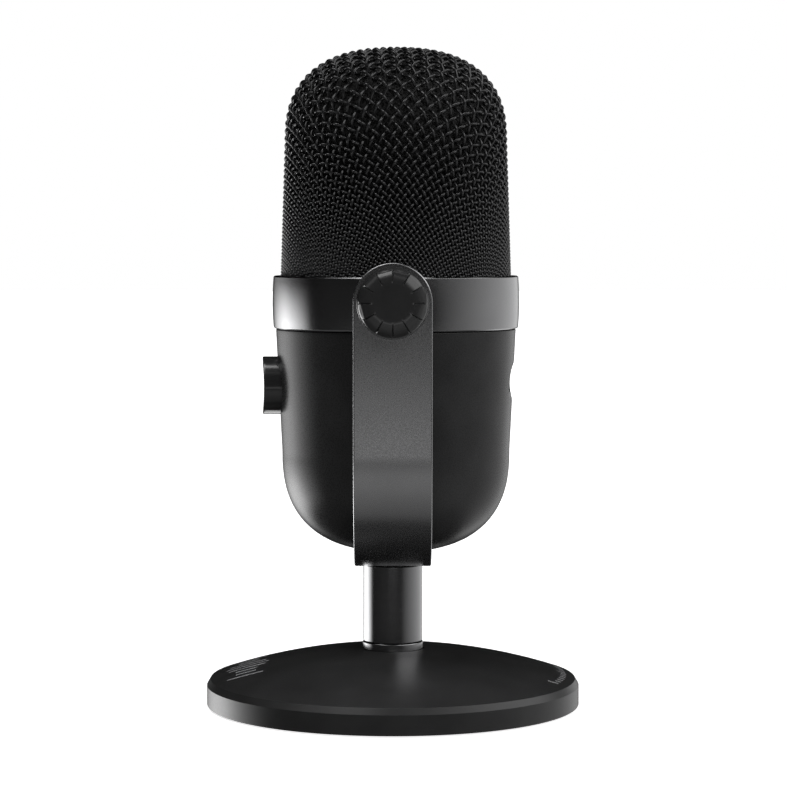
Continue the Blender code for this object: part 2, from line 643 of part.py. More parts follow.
def make_bezel(mats):
    """Rounded plate that fills the bay, with a shallow groove along its middle."""
    half = PORT_TALL / 2 + 0.001
    face = []
    steps = 8
    for step in range(steps + 1):
        offset = half - 2 * half * step / steps
        dip = PORT_GROOVE_DEPTH * max(0.0, 1 - (offset / (PORT_TALL / 2)) ** 2)
        face.append((casing_radius(PORT_HEIGHT + offset) - dip, PORT_HEIGHT + offset))
    outline = [(BEZEL_BACK, PORT_HEIGHT + half)] + face + [(BEZEL_BACK, PORT_HEIGHT - half)]
    bezel = turned("port_bezel", outline, mats["knob_plastic"], LARGE, (0, HEAD_AXIS_Y, 0))
    pill = extruded("cut_bezel_blank", pill_outline(PORT_WIDTH, PORT_TALL), 0.030, mats["knob_plastic"],
                    (0, PORT_CUT_Y, PORT_HEIGHT), TO_REAR)
    cut(bezel, pill, "INTERSECT")
    usb_opening = pill_outline(USB_WIDTH + 2 * GAP, USB_TALL + 2 * GAP)
    cut(bezel, extruded("cut_usb_hole", usb_opening, 0.030, mats["knob_plastic"],
                        (USB_X, PORT_CUT_Y, PORT_HEIGHT), TO_REAR))
    cut_hole(bezel, "cut_jack_hole", JACK_RADIUS + GAP, 0.020, 0.045, (JACK_X, 0, PORT_HEIGHT), TO_REAR)
    return bezel


def make_sockets(mats):
    usb_place = (USB_X, USB_MIDDLE_Y, PORT_HEIGHT)
    shell = pill_outline(USB_WIDTH, USB_TALL)
    usb = extruded("usb_socket", shell, USB_DEPTH, mats["steel"], usb_place, TO_REAR)
    opening = pill_outline(USB_WIDTH - 2 * USB_WALL, USB_TALL - 2 * USB_WALL)
    cut(usb, extruded("cut_usb_mouth", opening, USB_MOUTH_DEPTH, mats["steel"],
                      (USB_X, USB_MOUTH_MIDDLE_Y, PORT_HEIGHT), TO_REAR))
    tongue = block("usb_tongue", (USB_X - TONGUE_HALF_WIDTH, TONGUE_BACK, PORT_HEIGHT - TONGUE_HALF_HEIGHT),
                   (USB_X + TONGUE_HALF_WIDTH, TONGUE_FRONT, PORT_HEIGHT + TONGUE_HALF_HEIGHT),
                   mats["knob_plastic"])
    barrel = [(JACK_BORE, JACK_MOUTH), (JACK_RADIUS, JACK_MOUTH), (JACK_RADIUS, JACK_END), (0, JACK_END),
              (0, JACK_BOTTOM), (JACK_BORE, JACK_BOTTOM)]
    jack_place = (JACK_X, 0, PORT_HEIGHT)
    jack = turned("headphone_jack", barrel, mats["knob_plastic"], SMALL, jack_place, TO_REAR)
    (near, far), (low, high) = PORT_BOARD_REACH, PORT_BOARD_HEIGHTS
    board = block("port_board", (-PORT_BOARD_HALF_WIDTH, near, low), (PORT_BOARD_HALF_WIDTH, far, high),
                  mats["board"])
    return [usb, tongue, jack, board]


# ---- Gain control -------------------------------------------------------------------------
def make_encoder(mats):
    encoder = block("gain_encoder", (-ENCODER_HALF, -ENCODER_FRONT, GAIN_HEIGHT - ENCODER_HALF),
                    (ENCODER_HALF, -ENCODER_BACK, GAIN_HEIGHT + ENCODER_HALF), mats["steel"])
    cut_hole(encoder, "cut_encoder_bore", SHAFT_RADIUS + GAP, 0.020, 0.035, (0, 0, GAIN_HEIGHT), TO_FRONT)
    half_width, half_height = ENCODER_BOARD_HALF_WIDTH, ENCODER_BOARD_HALF_HEIGHT
    board = block("encoder_board", (-half_width, -ENCODER_BOARD_FRONT, GAIN_HEIGHT - half_height),
                  (half_width, -ENCODER_BOARD_BACK, GAIN_HEIGHT + half_height), mats["board"])
    return [encoder, board]


def make_gain_control(mats, press, turn):
    centre = (0, 0, GAIN_HEIGHT)
    plunger_foot = ENCODER_BOARD_FRONT + GAP + PRESS_TRAVEL
    plunger_outline = rod_outline(PLUNGER_RADIUS, plunger_foot, PLUNGER_FRONT)
    plunger = turned("mute_plunger", plunger_outline, mats["nylon"], SMALL, centre, TO_FRONT)
    hang(plunger, press)
    shaft_outline = rod_outline(SHAFT_RADIUS, SHAFT_BACK, SHAFT_FRONT)
    shaft = turned("encoder_shaft", shaft_outline, mats["steel"], SMALL, centre, TO_FRONT)
    face, back = -GAIN_FACE_Y, -GAIN_BACK_Y
    bore, bore_end = SHAFT_RADIUS + GAP, SHAFT_FRONT + GAP
    outline = [(0, face), (GAIN_RADIUS - EDGE, face), (GAIN_RADIUS, face - EDGE), (GAIN_RADIUS, back),
               (bore, back), (bore, bore_end), (0, bore_end)]
    knob = turned("gain_knob", outline, mats["knob_plastic"], MEDIUM, centre, TO_FRONT)
    scoop_centre = (0, GAIN_FACE_Y - GAIN_SCOOP_RADIUS + GAIN_SCOOP_DEPTH, GAIN_HEIGHT)
    scoop = turned("cut_gain_scoop", rod_outline(GAIN_SCOOP_RADIUS, -0.012, 0.012), mats["knob_plastic"],
                   160, scoop_centre, TO_X)
    cut(knob, scoop)
    for piece in (shaft, knob):
        hang(piece, turn)


# ---- Tilt pivots and clamps ---------------------------------------------------------------
def knob_outline():
    """Clamp knob: flat middle disc, sloping shoulder, rounded rim and a blind stud bore."""
    depth = KNOB_OUTER - KNOB_INNER
    bore = STUD_RADIUS + GAP
    back_edge = 0.0006
    return [(0, depth), (KNOB_FLAT_RADIUS, depth), (KNOB_FLAT_RADIUS + 0.0006, depth - 0.0004),
            (KNOB_SHOULDER_RADIUS, depth - 0.0014), (KNOB_RIM_RADIUS, depth - 0.0026),
            (KNOB_RADIUS, depth - 0.0040), (KNOB_RADIUS, back_edge), (KNOB_RADIUS - back_edge, 0),
            (bore, 0), (bore, KNOB_BORE_DEPTH), (0, KNOB_BORE_DEPTH)]


def scallop(knob):
    """Press shallow finger grooves into the knob's shoulder and rim."""
    for vert in knob.data.vertices:
        radius = math.hypot(vert.co.x, vert.co.y)
        if radius > KNOB_LOBE_START:
            angle = math.atan2(vert.co.y, vert.co.x)
            dip = 0.5 - 0.5 * math.cos(KNOB_LOBES * angle)
            scale = 1 - KNOB_LOBE_DEPTH * dip
            vert.co.x *= scale
            vert.co.y *= scale


def make_side(mats, side, label, tilt):
    """Insert, friction disc, washer, stud and knob of one clamp; side is +1 for right, -1 for left."""
    turn = TO_X if side > 0 else TO_MINUS_X
    place = (0, 0, PIVOT_HEIGHT)
    stud_hole = STUD_RADIUS + EDGE
    insert_outline = tube_outline(stud_hole, INSERT_RADIUS, INSERT_INNER, INSERT_OUTER)
    insert = turned("pivot_insert_" + label, insert_outline, mats["brass"], SMALL, place, turn)
    disc_outline = tube_outline(stud_hole, TILT_WASHER_RADIUS, TILT_WASHER_INNER,
                                YOKE_OUTER - YOKE_THICKNESS - GAP)
    disc = turned("tilt_washer_" + label, disc_outline, mats["rubber"], SMALL, place, turn)
    for piece in (insert, disc):
        hang(piece, tilt)
    joint = pivot("clamp_axis_" + label, (side * YOKE_OUTER, 0, PIVOT_HEIGHT), tilt)
    washer_outline = tube_outline(STUD_RADIUS + GAP, CLAMP_WASHER_RADIUS, YOKE_OUTER + GAP,
                                  KNOB_INNER - GAP)
    washer = turned("clamp_washer_" + label, washer_outline, mats["nylon"], SMALL, place, turn)
    stud_outline = rod_outline(STUD_RADIUS, STUD_INNER, KNOB_INNER + STUD_GRIP)
    stud = turned("clamp_stud_" + label, stud_outline, mats["steel"], SMALL, place, turn)
    knob_place = (side * KNOB_INNER, 0, PIVOT_HEIGHT)
    knob_steps = 3 * KNOB_LOBES
    knob = turned("clamp_knob_" + label, knob_outline(), mats["knob_plastic"], knob_steps, knob_place, turn)
    scallop(knob)
    for piece in (washer, stud, knob):
        hang(piece, joint)


def clear_scene():
    for obj in list(bpy.data.objects):
        bpy.data.objects.remove(obj)


def main():
    clear_scene()
    mats = make_materials()
    swivel = pivot("swivel_axis", (0, 0, STEM_TOP))
    tilt = pivot("tilt_axis", (0, 0, PIVOT_HEIGHT), swivel)
    make_base(mats)
    make_stem(mats)
    make_yoke(mats, swivel)
    head = [make_band(mats), make_casing(mats)]
    head += make_grille(mats)
    head += make_frame(mats)
    head += make_capsule(mats)
    head += make_capsule_lead(mats)
    head += make_spine_and_board(mats)
    head += [make_bezel(mats)] + make_sockets(mats)
    head += make_encoder(mats)
    for piece in head:
        hang(piece, tilt)
    press = pivot("press_axis", (0, GAIN_FACE_Y, GAIN_HEIGHT), tilt)
    make_gain_control(mats, press, pivot("gain_axis", (0, GAIN_FACE_Y, GAIN_HEIGHT), press))
    for side, label in ((1, "right"), (-1, "left")):
        make_side(mats, side, label, tilt)


main()
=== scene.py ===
"""Looks for the desktop microphone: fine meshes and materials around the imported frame.

Metres, +Z up, front towards -Y. Places and sizes come from the frame's nodes.
"""
import math

import bmesh
import bpy
import numpy as np
from mathutils import Matrix, Vector


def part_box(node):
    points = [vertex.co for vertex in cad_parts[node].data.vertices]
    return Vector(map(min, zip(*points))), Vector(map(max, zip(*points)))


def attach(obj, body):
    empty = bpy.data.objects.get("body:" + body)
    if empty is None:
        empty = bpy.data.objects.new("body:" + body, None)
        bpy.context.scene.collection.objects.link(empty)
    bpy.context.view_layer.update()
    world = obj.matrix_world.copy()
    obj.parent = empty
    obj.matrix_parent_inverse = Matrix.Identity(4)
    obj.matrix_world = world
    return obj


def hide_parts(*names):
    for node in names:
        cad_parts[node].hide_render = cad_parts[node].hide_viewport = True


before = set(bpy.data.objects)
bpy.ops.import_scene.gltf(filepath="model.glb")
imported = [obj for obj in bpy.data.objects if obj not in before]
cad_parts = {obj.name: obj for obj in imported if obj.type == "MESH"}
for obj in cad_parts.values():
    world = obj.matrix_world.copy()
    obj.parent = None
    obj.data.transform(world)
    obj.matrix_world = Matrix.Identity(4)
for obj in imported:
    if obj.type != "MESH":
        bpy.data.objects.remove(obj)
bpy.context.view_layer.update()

MM = 0.001
FINE = 192                      # steps round a large turned piece
MIDDLE = 96                     # steps round a small one
GAP = 0.3 * MM                  # clearance round a part that is let into another

# ---- Places from the frame ----------------------------------------------------------------
BASE_LOW, BASE_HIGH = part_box("base_disc")
PAD_LOW, PAD_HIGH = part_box("base_pad")
COLLAR_LOW, COLLAR_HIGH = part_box("stem_collar")
STEM_LOW, STEM_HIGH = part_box("stem_tube")
YOKE_LOW, YOKE_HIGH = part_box("yoke_strap")
BAND_LOW, BAND_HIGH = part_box("trim_band")
CASING_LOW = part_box("lower_casing")[0]
GRILLE_LOW, GRILLE_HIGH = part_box("grille")
FOAM_LOW, FOAM_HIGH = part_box("foam_liner")
FOAM_GAP = GRILLE_HIGH.z - FOAM_HIGH.z
DIAL_LOW, DIAL_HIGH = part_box("gain_knob")
GRIP_LOW, GRIP_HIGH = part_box("clamp_knob_right")
BEZEL_LOW, BEZEL_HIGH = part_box("port_bezel")
SWIVEL_LOW, SWIVEL_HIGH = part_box("swivel_bolt")
HEAD_Y = (BAND_LOW.y + BAND_HIGH.y) / 2
HEAD = Vector((0, HEAD_Y, 0))
PIVOT_HEIGHT = (GRIP_LOW.z + GRIP_HIGH.z) / 2
GAIN_HEIGHT = (DIAL_LOW.z + DIAL_HIGH.z) / 2
PORT_HEIGHT = (BEZEL_LOW.z + BEZEL_HIGH.z) / 2

TO_X = Matrix.Rotation(math.pi / 2, 4, "Y")
TO_MINUS_X = Matrix.Rotation(-math.pi / 2, 4, "Y")
TO_FRONT = Matrix.Rotation(math.pi / 2, 4, "X")
TO_REAR = Matrix.Rotation(-math.pi / 2, 4, "X")


# ---- Material building --------------------------------------------------------------------
NOISE_LOW, NOISE_HIGH = 0.3, 0.7    # noise mostly stays in this range
DRIFT_SCALE = 90.0                  # slow colour changes, about a centimetre across
ROUGHNESS_SPREAD = 0.04


class Graph:
    """A material's node tree, with short calls for the few node types used here."""

    def __init__(self, name):
        self.material = bpy.data.materials.new(name)
        self.material.use_nodes = True
        self.tree = self.material.node_tree
        self.shader = self.tree.nodes["Principled BSDF"]
        self.place = self.add("ShaderNodeTexCoord").outputs["Object"]

    def add(self, kind, **values):
        node = self.tree.nodes.new(kind)
        for key, value in values.items():
            setattr(node, key, value)
        return node

    def link(self, source, target):
        self.tree.links.new(source, target)

    def stretched(self, scale):
        node = self.add("ShaderNodeMapping")
        node.inputs["Scale"].default_value = scale
        self.link(self.place, node.inputs["Vector"])
        return node.outputs["Vector"]

    def noise(self, scale, detail=3.0, place=None):
        node = self.add("ShaderNodeTexNoise")
        node.inputs["Scale"].default_value = scale
        node.inputs["Detail"].default_value = detail
        self.link(place or self.place, node.inputs["Vector"])
        return node.outputs["Fac"]

    def colours(self, factor, low, high):
        ramp = self.add("ShaderNodeValToRGB")
        ramp.color_ramp.elements[0].position = NOISE_LOW
        ramp.color_ramp.elements[1].position = NOISE_HIGH
        ramp.color_ramp.elements[0].color = (*low, 1)
        ramp.color_ramp.elements[1].color = (*high, 1)
        self.link(factor, ramp.inputs["Fac"])
        self.link(ramp.outputs["Color"], self.shader.inputs["Base Color"])

    def rough(self, factor, low, high):
        spread = self.add("ShaderNodeMapRange")
        spread.inputs["From Min"].default_value = NOISE_LOW
        spread.inputs["From Max"].default_value = NOISE_HIGH
        spread.inputs["To Min"].default_value = low
        spread.inputs["To Max"].default_value = high
        self.link(factor, spread.inputs["Value"])
        self.link(spread.outputs["Result"], self.shader.inputs["Roughness"])

    def bump(self, height, depth):
        node = self.add("ShaderNodeBump")
        node.inputs["Strength"].default_value = 1.0
        node.inputs["Distance"].default_value = depth
        self.link(height, node.inputs["Height"])
        self.link(node.outputs["Normal"], self.shader.inputs["Normal"])

    def set(self, **values):
        for key, value in values.items():
            self.shader.inputs[key.replace("_", " ")].default_value = value


def shade(colour, factor):
    return tuple(channel * factor for channel in colour)


def grained(name, colour, roughness, grain, depth, metallic=0.0, change=0.15, stretch=None, **sockets):
    """Colour drifts slowly over the surface, and a fine grain changes its roughness and relief.

    grain is in cells per metre and depth in metres; change is the share by which the colour drifts.
    """
    graph = Graph(name)
    graph.set(Metallic=metallic, **sockets)
    drift = graph.noise(DRIFT_SCALE)
    graph.colours(drift, shade(colour, 1 - change), shade(colour, 1 + change))
    place = graph.stretched(stretch) if stretch else graph.place
    fine = graph.noise(grain, 2.0, place)
    graph.rough(fine, roughness - ROUGHNESS_SPREAD, roughness + ROUGHNESS_SPREAD)
    graph.bump(fine, depth)
    return graph.material


def foam_material():
    """Open-cell foam: a soft black surface with small sunk pits, each darker towards its middle by
    painted shade.
    """
    pores_per_metre, relief = 1400.0, 0.3 * MM
    graph = Graph("foam_look")
    pore_pits_and_shade = graph.add("ShaderNodeTexVoronoi")
    pore_pits_and_shade.inputs["Scale"].default_value = pores_per_metre
    graph.link(graph.place, pore_pits_and_shade.inputs["Vector"])
    # painted shade: the colour darkens towards the middle of each pore, where the bump sinks it
    graph.colours(pore_pits_and_shade.outputs["Distance"], (0.010, 0.010, 0.010), (0.046, 0.046, 0.046))
    graph.set(Roughness=0.95, Specular_IOR_Level=0.1)
    graph.bump(pore_pits_and_shade.outputs["Distance"], relief)
    return graph.material


def board_material():
    """Solder mask with faint copper tracks under it."""
    tracks_per_metre, grain, relief = 300.0, 1500.0, 0.02 * MM
    graph = Graph("board_look")
    tracks = graph.add("ShaderNodeTexBrick")
    tracks.inputs["Scale"].default_value = tracks_per_metre
    graph.link(graph.place, tracks.inputs["Vector"])
    graph.colours(tracks.outputs["Fac"], (0.010, 0.060, 0.028), (0.020, 0.110, 0.050))
    graph.set(Roughness=0.45)
    graph.bump(graph.noise(grain), relief)
    return graph.material


def make_materials():
    """One look for each material slot of the record.

    After its name, a grained look states colour, roughness, grain, depth and how metallic it is.
    """
    round_lines = (1.0, 1.0, 30.0)      # squeezes the grain into lines round the vertical axis
    return {
        "base_paint": grained("base_look", (0.033, 0.033, 0.0335), 0.32, 2600.0, 0.003 * MM,
                              Specular_IOR_Level=0.34),
        "pad_rubber": grained("rubber_look", (0.016, 0.016, 0.016), 0.80, 900.0, 0.03 * MM),
        "fastener_steel": grained("steel_look", (0.30, 0.30, 0.31), 0.34, 700.0, 0.004 * MM, 1.0,
                                  stretch=round_lines),
        "dark_metal": grained("gunmetal_look", (0.33, 0.33, 0.335), 0.19, 500.0, 0.001 * MM, 1.0,
                              change=0.04, stretch=round_lines),
        "satin_metal": grained("satin_look", (0.34, 0.34, 0.345), 0.28, 1800.0, 0.0007 * MM, 0.93,
                               change=0.04),
        "brass": grained("brass_look", (0.78, 0.58, 0.26), 0.30, 700.0, 0.004 * MM, 1.0,
                         stretch=round_lines),
        "casing_plastic": grained("casing_look", (0.038, 0.038, 0.0385), 0.28, 3000.0, 0.002 * MM,
                                  Specular_IOR_Level=0.20),
        "knob_plastic": grained("knob_look", (0.037, 0.037, 0.0375), 0.15, 2400.0, 0.001 * MM),
        "grille_wire": grained("wire_look", (0.030, 0.030, 0.031), 0.15, 2000.0, 0.002 * MM, 0.2,
                               Specular_IOR_Level=0.6),
        "foam": foam_material(),
        "board": board_material(),
        "capsule_metal": grained("capsule_look", (0.60, 0.58, 0.52), 0.35, 800.0, 0.006 * MM, 1.0),
        "nylon": grained("nylon_look", (0.62, 0.61, 0.58), 0.50, 600.0, 0.01 * MM),
        "frame_plastic": grained("frame_look", (0.028, 0.028, 0.028), 0.55, 1200.0, 0.02 * MM),
    }


LOOKS = make_materials()


# ---- Mesh building ------------------------------------------------------------------------
ON_AXIS = 1e-9                  # a lathe outline point this near the axis is a single vertex
FILLET_REACH = 0.48             # most of a neighbouring edge that a fillet may take
PILL_STEPS = 24                 # steps round each end of a pill


def piece_from(name, mesh, body, slot, replaced=(), look=None):
    """Link a finished mesh as a piece that rides on a body and takes a slot's finish."""
    obj = bpy.data.objects.new(name, mesh)
    bpy.context.scene.collection.objects.link(obj)
    mesh.materials.clear()
    mesh.materials.append(LOOKS[look or slot])
    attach(obj, body)
    if replaced:
        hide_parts(*replaced)
    return obj


def soften(obj, sharp_angle=40):
    """Smooth shading that keeps flat faces flat beside their fillets."""
    large_faces_first = 60
    obj.data.shade_smooth()
    obj.data.set_sharp_from_angle(angle=math.radians(sharp_angle))
    weighted = obj.modifiers.new("flat_faces_stay_flat", "WEIGHTED_NORMAL")
    weighted.keep_sharp = True
    weighted.weight = large_faces_first


def filleted(corners, steps=4):
    """Closed outline from (radius, height, fillet) corners; a fillet of 0 stays sharp."""
    outline = []
    count = len(corners)
    for index, (across, height, fillet) in enumerate(corners):
        here = Vector((across, height))
        if not fillet:
            outline.append(here)
            continue
        back = Vector(corners[index - 1][:2]) - here
        ahead = Vector(corners[(index + 1) % count][:2]) - here
        angle = back.angle(ahead)
        longest = FILLET_REACH * min(back.length, ahead.length)
        reach = min(fillet / math.tan(angle / 2), longest)
        radius = reach * math.tan(angle / 2)
        toward = (back.normalized() + ahead.normalized()).normalized()
        centre = here + toward * radius / math.sin(angle / 2)
        first = here + back.normalized() * reach - centre
        last = here + ahead.normalized() * reach - centre
        sweep = math.pi - angle
        for step in range(steps + 1):
            share = step / steps
            mix = first * math.sin((1 - share) * sweep) + last * math.sin(share * sweep)
            outline.append(centre + mix / math.sin(sweep))
    return outline


def lathe(name, outline, steps, place=(0, 0, 0), turn=None):
    """Turn a closed (radius, height) outline about local Z, then turn and move it."""
    angles = [math.tau * step / steps for step in range(steps)]
    verts = []
    rings = []
    for radius, height in outline:
        start = len(verts)
        if radius < ON_AXIS:
            verts.append((0, 0, height))
            rings.append([start] * steps)
            continue
        verts += [(radius * math.cos(a), radius * math.sin(a), height) for a in angles]
        rings.append(list(range(start, start + steps)))
    faces = []
    for first, second in zip(rings, rings[1:] + rings[:1]):
        if first[0] == first[1] and second[0] == second[1]:
            continue
        for step in range(steps):
            after = (step + 1) % steps
            corners = (first[step], second[step], second[after], first[after])
            faces.append(tuple(dict.fromkeys(corners)))
    return finished_mesh(name, verts, faces, Matrix.Translation(place) @ (turn or Matrix()))


def finished_mesh(name, verts, faces, matrix=None):
    mesh = bpy.data.meshes.new(name)
    mesh.from_pydata(verts, [], faces)
    bm = bmesh.new()
    bm.from_mesh(mesh)
    bmesh.ops.recalc_face_normals(bm, faces=bm.faces)
    bm.to_mesh(mesh)
    bm.free()
    if matrix:
        mesh.transform(matrix)
    return mesh


def rod(name, radius, low, high, place=(0, 0, 0), turn=None):
    return lathe(name, [(0, high), (radius, high), (radius, low), (0, low)], MIDDLE, place, turn)


def circle(radius, x, steps):
    """Ring of (x, y) points about a middle at x."""
    return [(x + radius * math.cos(math.tau * i / steps), radius * math.sin(math.tau * i / steps))
            for i in range(steps)]


def stadium(reach, radius, steps):
    """Ring of two half circles, with their middles at reach to each side."""
    ring = []
    for side in (1, -1):
        for step in range(steps + 1):
            angle = -math.pi / 2 + math.pi * step / steps
            ring.append((side * (reach + radius * math.cos(angle)), side * radius * math.sin(angle)))
    return ring


def pill(name, width, height, depth, place, turn):
    """A solid rounded slot, wider than it is tall, with its length along local X."""
    ring = stadium(width / 2 - height / 2, height / 2, PILL_STEPS)
    return prism(name, ring, depth, Matrix.Translation(place) @ turn)


def prism(name, ring, depth, matrix):
    """Extrude a flat (x, y) ring along local Z by depth, centred on z = 0."""
    count = len(ring)
    verts = [(x, y, level) for level in (-depth / 2, depth / 2) for x, y in ring]
    faces = [tuple(range(count)), tuple(range(count, 2 * count))]
    for index in range(count):
        after = (index + 1) % count
        faces.append((index, after, count + after, count + index))
    return finished_mesh(name, verts, faces, matrix)


def carve(obj, *cutters, operation="DIFFERENCE"):
    """Cut the object with each cutter mesh and keep only the result."""
    for mesh in cutters:
        guide = bpy.data.objects.new(mesh.name, mesh)
        bpy.context.scene.collection.objects.link(guide)
        change = obj.modifiers.new("carve", "BOOLEAN")
        change.operation = operation
        change.object = guide
        change.solver = "EXACT"
        bpy.context.view_layer.update()
        depsgraph = bpy.context.evaluated_depsgraph_get()
        result = bpy.data.meshes.new_from_object(obj.evaluated_get(depsgraph))
        obj.modifiers.clear()
        obj.data = result
        bpy.data.objects.remove(guide)


# ---- Base and stem ------------------------------------------------------------------------
BASE_RADIUS = BASE_HIGH.x
CHAMFER_INSET = 1.10 * MM
WALL_TOP = 6.40 * MM
CHAMFER_TOP = 8.25 * MM
DOME_RADIUS = 167.6 * MM
SEAT_RADIUS = COLLAR_HIGH.x + GAP
BOLT_HOLE = 4.3 * MM             # radius of the hole for the stem's bolt
STEM_BORE = 6.5 * MM


def dome_height(radius):
    """Height of the base's domed top at a radius from the middle."""
    drop = math.sqrt(DOME_RADIUS ** 2 - (BASE_RADIUS - CHAMFER_INSET) ** 2)
    return CHAMFER_TOP + math.sqrt(DOME_RADIUS ** 2 - radius ** 2) - drop


def make_base():
    """Domed disc with a chamfered edge, a seat for the collar, and a recess and pocket below."""
    floor = BASE_LOW.z
    recess, recess_outer = PAD_HIGH.z + GAP, PAD_HIGH.x + GAP
    step_inner = 11.2 * MM
    pocket_radius, pocket_top, pocket_rim = 9.5 * MM, 8.0 * MM, floor + 1.0 * MM
    seat = COLLAR_LOW.z - GAP
    lip = 0.5 * MM
    dome_steps = 28
    corners = [(BOLT_HOLE, seat, 0), (SEAT_RADIUS, seat, 0),
               (SEAT_RADIUS, dome_height(SEAT_RADIUS), 0.15 * MM)]
    for step in range(dome_steps):
        share = step / (dome_steps - 1)
        radius = SEAT_RADIUS + lip + (BASE_RADIUS - CHAMFER_INSET - SEAT_RADIUS - 2 * lip) * share
        corners.append((radius, dome_height(radius), 0))
    corners += [
        (BASE_RADIUS - CHAMFER_INSET, CHAMFER_TOP, 0.12 * MM),
        (BASE_RADIUS, WALL_TOP, 0.15 * MM),
        (BASE_RADIUS, floor, 0.4 * MM),
        (recess_outer, floor, 0.15 * MM),
        (recess_outer, recess, 0),
        (step_inner, recess, 0),
        (step_inner, pocket_rim, 0),
        (pocket_radius, pocket_rim, 0.15 * MM),
        (pocket_radius, pocket_top, 0),
        (BOLT_HOLE, pocket_top, 0),
    ]
    mesh = lathe("base_body", filleted(corners), FINE)
    soften(piece_from("base_body", mesh, "stand", "base_paint", ["base_disc"]), 60)


def make_foot():
    """Rubber ring with round grooves in its underside."""
    inner, outer = 11.5 * MM, PAD_HIGH.x
    groove, depth = 1.2 * MM, 0.5 * MM
    corners = [(inner, PAD_HIGH.z, 0.1 * MM), (outer, PAD_HIGH.z, 0.1 * MM), (outer, PAD_LOW.z, 0.3 * MM)]
    grooves = 9
    for index in range(grooves):
        centre = outer + (inner - outer) * (index + 1) / (grooves + 1)
        corners += [
            (centre + groove / 2, PAD_LOW.z, 0.1 * MM), (centre + groove / 4, PAD_LOW.z + depth, 0),
            (centre - groove / 4, PAD_LOW.z + depth, 0), (centre - groove / 2, PAD_LOW.z, 0.1 * MM)]
    corners.append((inner, PAD_LOW.z, 0.3 * MM))
    mesh = lathe("base_foot", filleted(corners, 2), MIDDLE)
    soften(piece_from("base_foot", mesh, "stand", "pad_rubber", ["base_pad"]))


def make_stem():
    """Collar and tube of the stem: rings with small fillets."""
    for name, node, low, high, bore, inner_fillet in (
            ("stem_ring", "stem_collar", COLLAR_LOW, COLLAR_HIGH, BOLT_HOLE, 0),
            ("stem_body", "stem_tube", STEM_LOW, STEM_HIGH, STEM_BORE, 0.2 * MM)):
        corners = [(bore, high.z, inner_fillet), (high.x, high.z, 0.25 * MM),
                   (high.x, low.z, 0.15 * MM), (bore, low.z, 0)]
        mesh = lathe(name, filleted(corners), FINE)
        soften(piece_from(name, mesh, "stand", "dark_metal", [node]))


def make_swivel_screw():
    """Countersunk socket screw that holds the yoke on the stem."""
    head, shank = SWIVEL_HIGH.x, 2.5 * MM
    top, tip = SWIVEL_HIGH.z, SWIVEL_LOW.z
    socket_radius, socket_depth = 1.7 * MM, 2.0 * MM
    corners = [(0, top, 0), (head, top, 0.12 * MM), (shank, top - head + shank, 0.2 * MM),
               (shank, tip, 0.3 * MM), (0, tip, 0)]
    mesh = lathe("swivel_screw", filleted(corners), MIDDLE)
    obj = piece_from("swivel_screw", mesh, "stand", "fastener_steel", ["swivel_bolt"])
    hexagon = circle(socket_radius, 0, 6)
    carve(obj, prism("hex_cutter", hexagon, 2 * socket_depth, Matrix.Translation((0, 0, top))))
    soften(obj)


# ---- Printed marks on the base ------------------------------------------------------------
def mark_plate(low, high, half_width, middle, facing):
    """Thin printed bar on the dome, long from radius low to high, beside the facing direction."""
    rows, ink, sunk = 8, 0.03 * MM, 0.15 * MM
    verts = []
    for row in range(rows + 1):
        along = low + (high - low) * row / rows
        for side in (-1, 1):
            across = middle + side * half_width
            height = dome_height(math.hypot(along, across))
            verts += [(across, facing * along, height + ink), (across, facing * along, height - sunk)]
    faces = [(0, 1, 3, 2), (4 * rows, 4 * rows + 2, 4 * rows + 3, 4 * rows + 1)]
    for row in range(rows):
        a, b = 4 * row, 4 * row + 4
        faces += [(a, a + 2, b + 2, b), (a + 1, b + 1, b + 3, a + 3), (a, b, b + 1, a + 1),
                  (a + 2, a + 3, b + 3, b + 2)]
    return verts, faces


def sound_bars():
    """Bars at the front, long and short like a plain sound wave."""
    bars, pitch, centre, half_width = 9, 3.6 * MM, 43.0 * MM, 0.45 * MM
    shortest, swing, wave_turn = 1.6, 4.6, 0.62
    plates = []
    for index in range(bars):
        offset = index - (bars - 1) / 2
        half_length = (shortest + swing * abs(math.cos(offset * wave_turn))) * MM
        plates.append((centre - half_length, centre + half_length, half_width, offset * pitch, -1))
    return plates


def level_ticks():
    """Ticks along the rear edge, with every seventh one longer."""
    ticks, pitch, half_width, edge_radius = 15, 2.6 * MM, 0.32 * MM, 51.3 * MM
    long, short = 3.0 * MM, 1.7 * MM
    plates = []
    for index in range(ticks):
        across = (index - (ticks - 1) / 2) * pitch
        edge = math.sqrt(edge_radius ** 2 - across ** 2)
        length = long if index % 7 == 0 else short
        plates.append((edge - length, edge, half_width, across, 1))
    return plates


def make_marks():
    """Printed bars and ticks, each set as one piece."""
    ink = grained("printed_ink", (0.42, 0.42, 0.43), 0.45, 2500.0, 0.004 * MM)
    for name, plates in (("front_mark", sound_bars()), ("rear_mark", level_ticks())):
        verts, faces = [], []
        for plate in plates:
            start = len(verts)
            more_verts, more_faces = mark_plate(*plate)
            verts += more_verts
            faces += [tuple(start + corner for corner in face) for face in more_faces]
        obj = piece_from(name, finished_mesh(name, verts, faces), "stand", "base_paint")
        obj.data.materials[0] = ink


# ---- Yoke ---------------------------------------------------------------------------------
CORNER_X = 5.5 * MM
CORNER_Z = 77.6 * MM
YOKE_THICKNESS = 2.5 * MM
STRAP_HOLE = 2.9 * MM            # radius of the holes for the studs and the swivel bolt
BEND_RADIUS = YOKE_HIGH.x - CORNER_X - YOKE_THICKNESS / 2
BEND_LENGTH = BEND_RADIUS * math.pi / 2


def round_spline(curve, points):
    """Add a closed outline to the curve."""
    spline = curve.splines.new("POLY")
    spline.points.add(len(points) - 1)
    for slot, point in zip(spline.points, points):
        slot.co = (*point, 0, 1)
    spline.use_cyclic_u = True


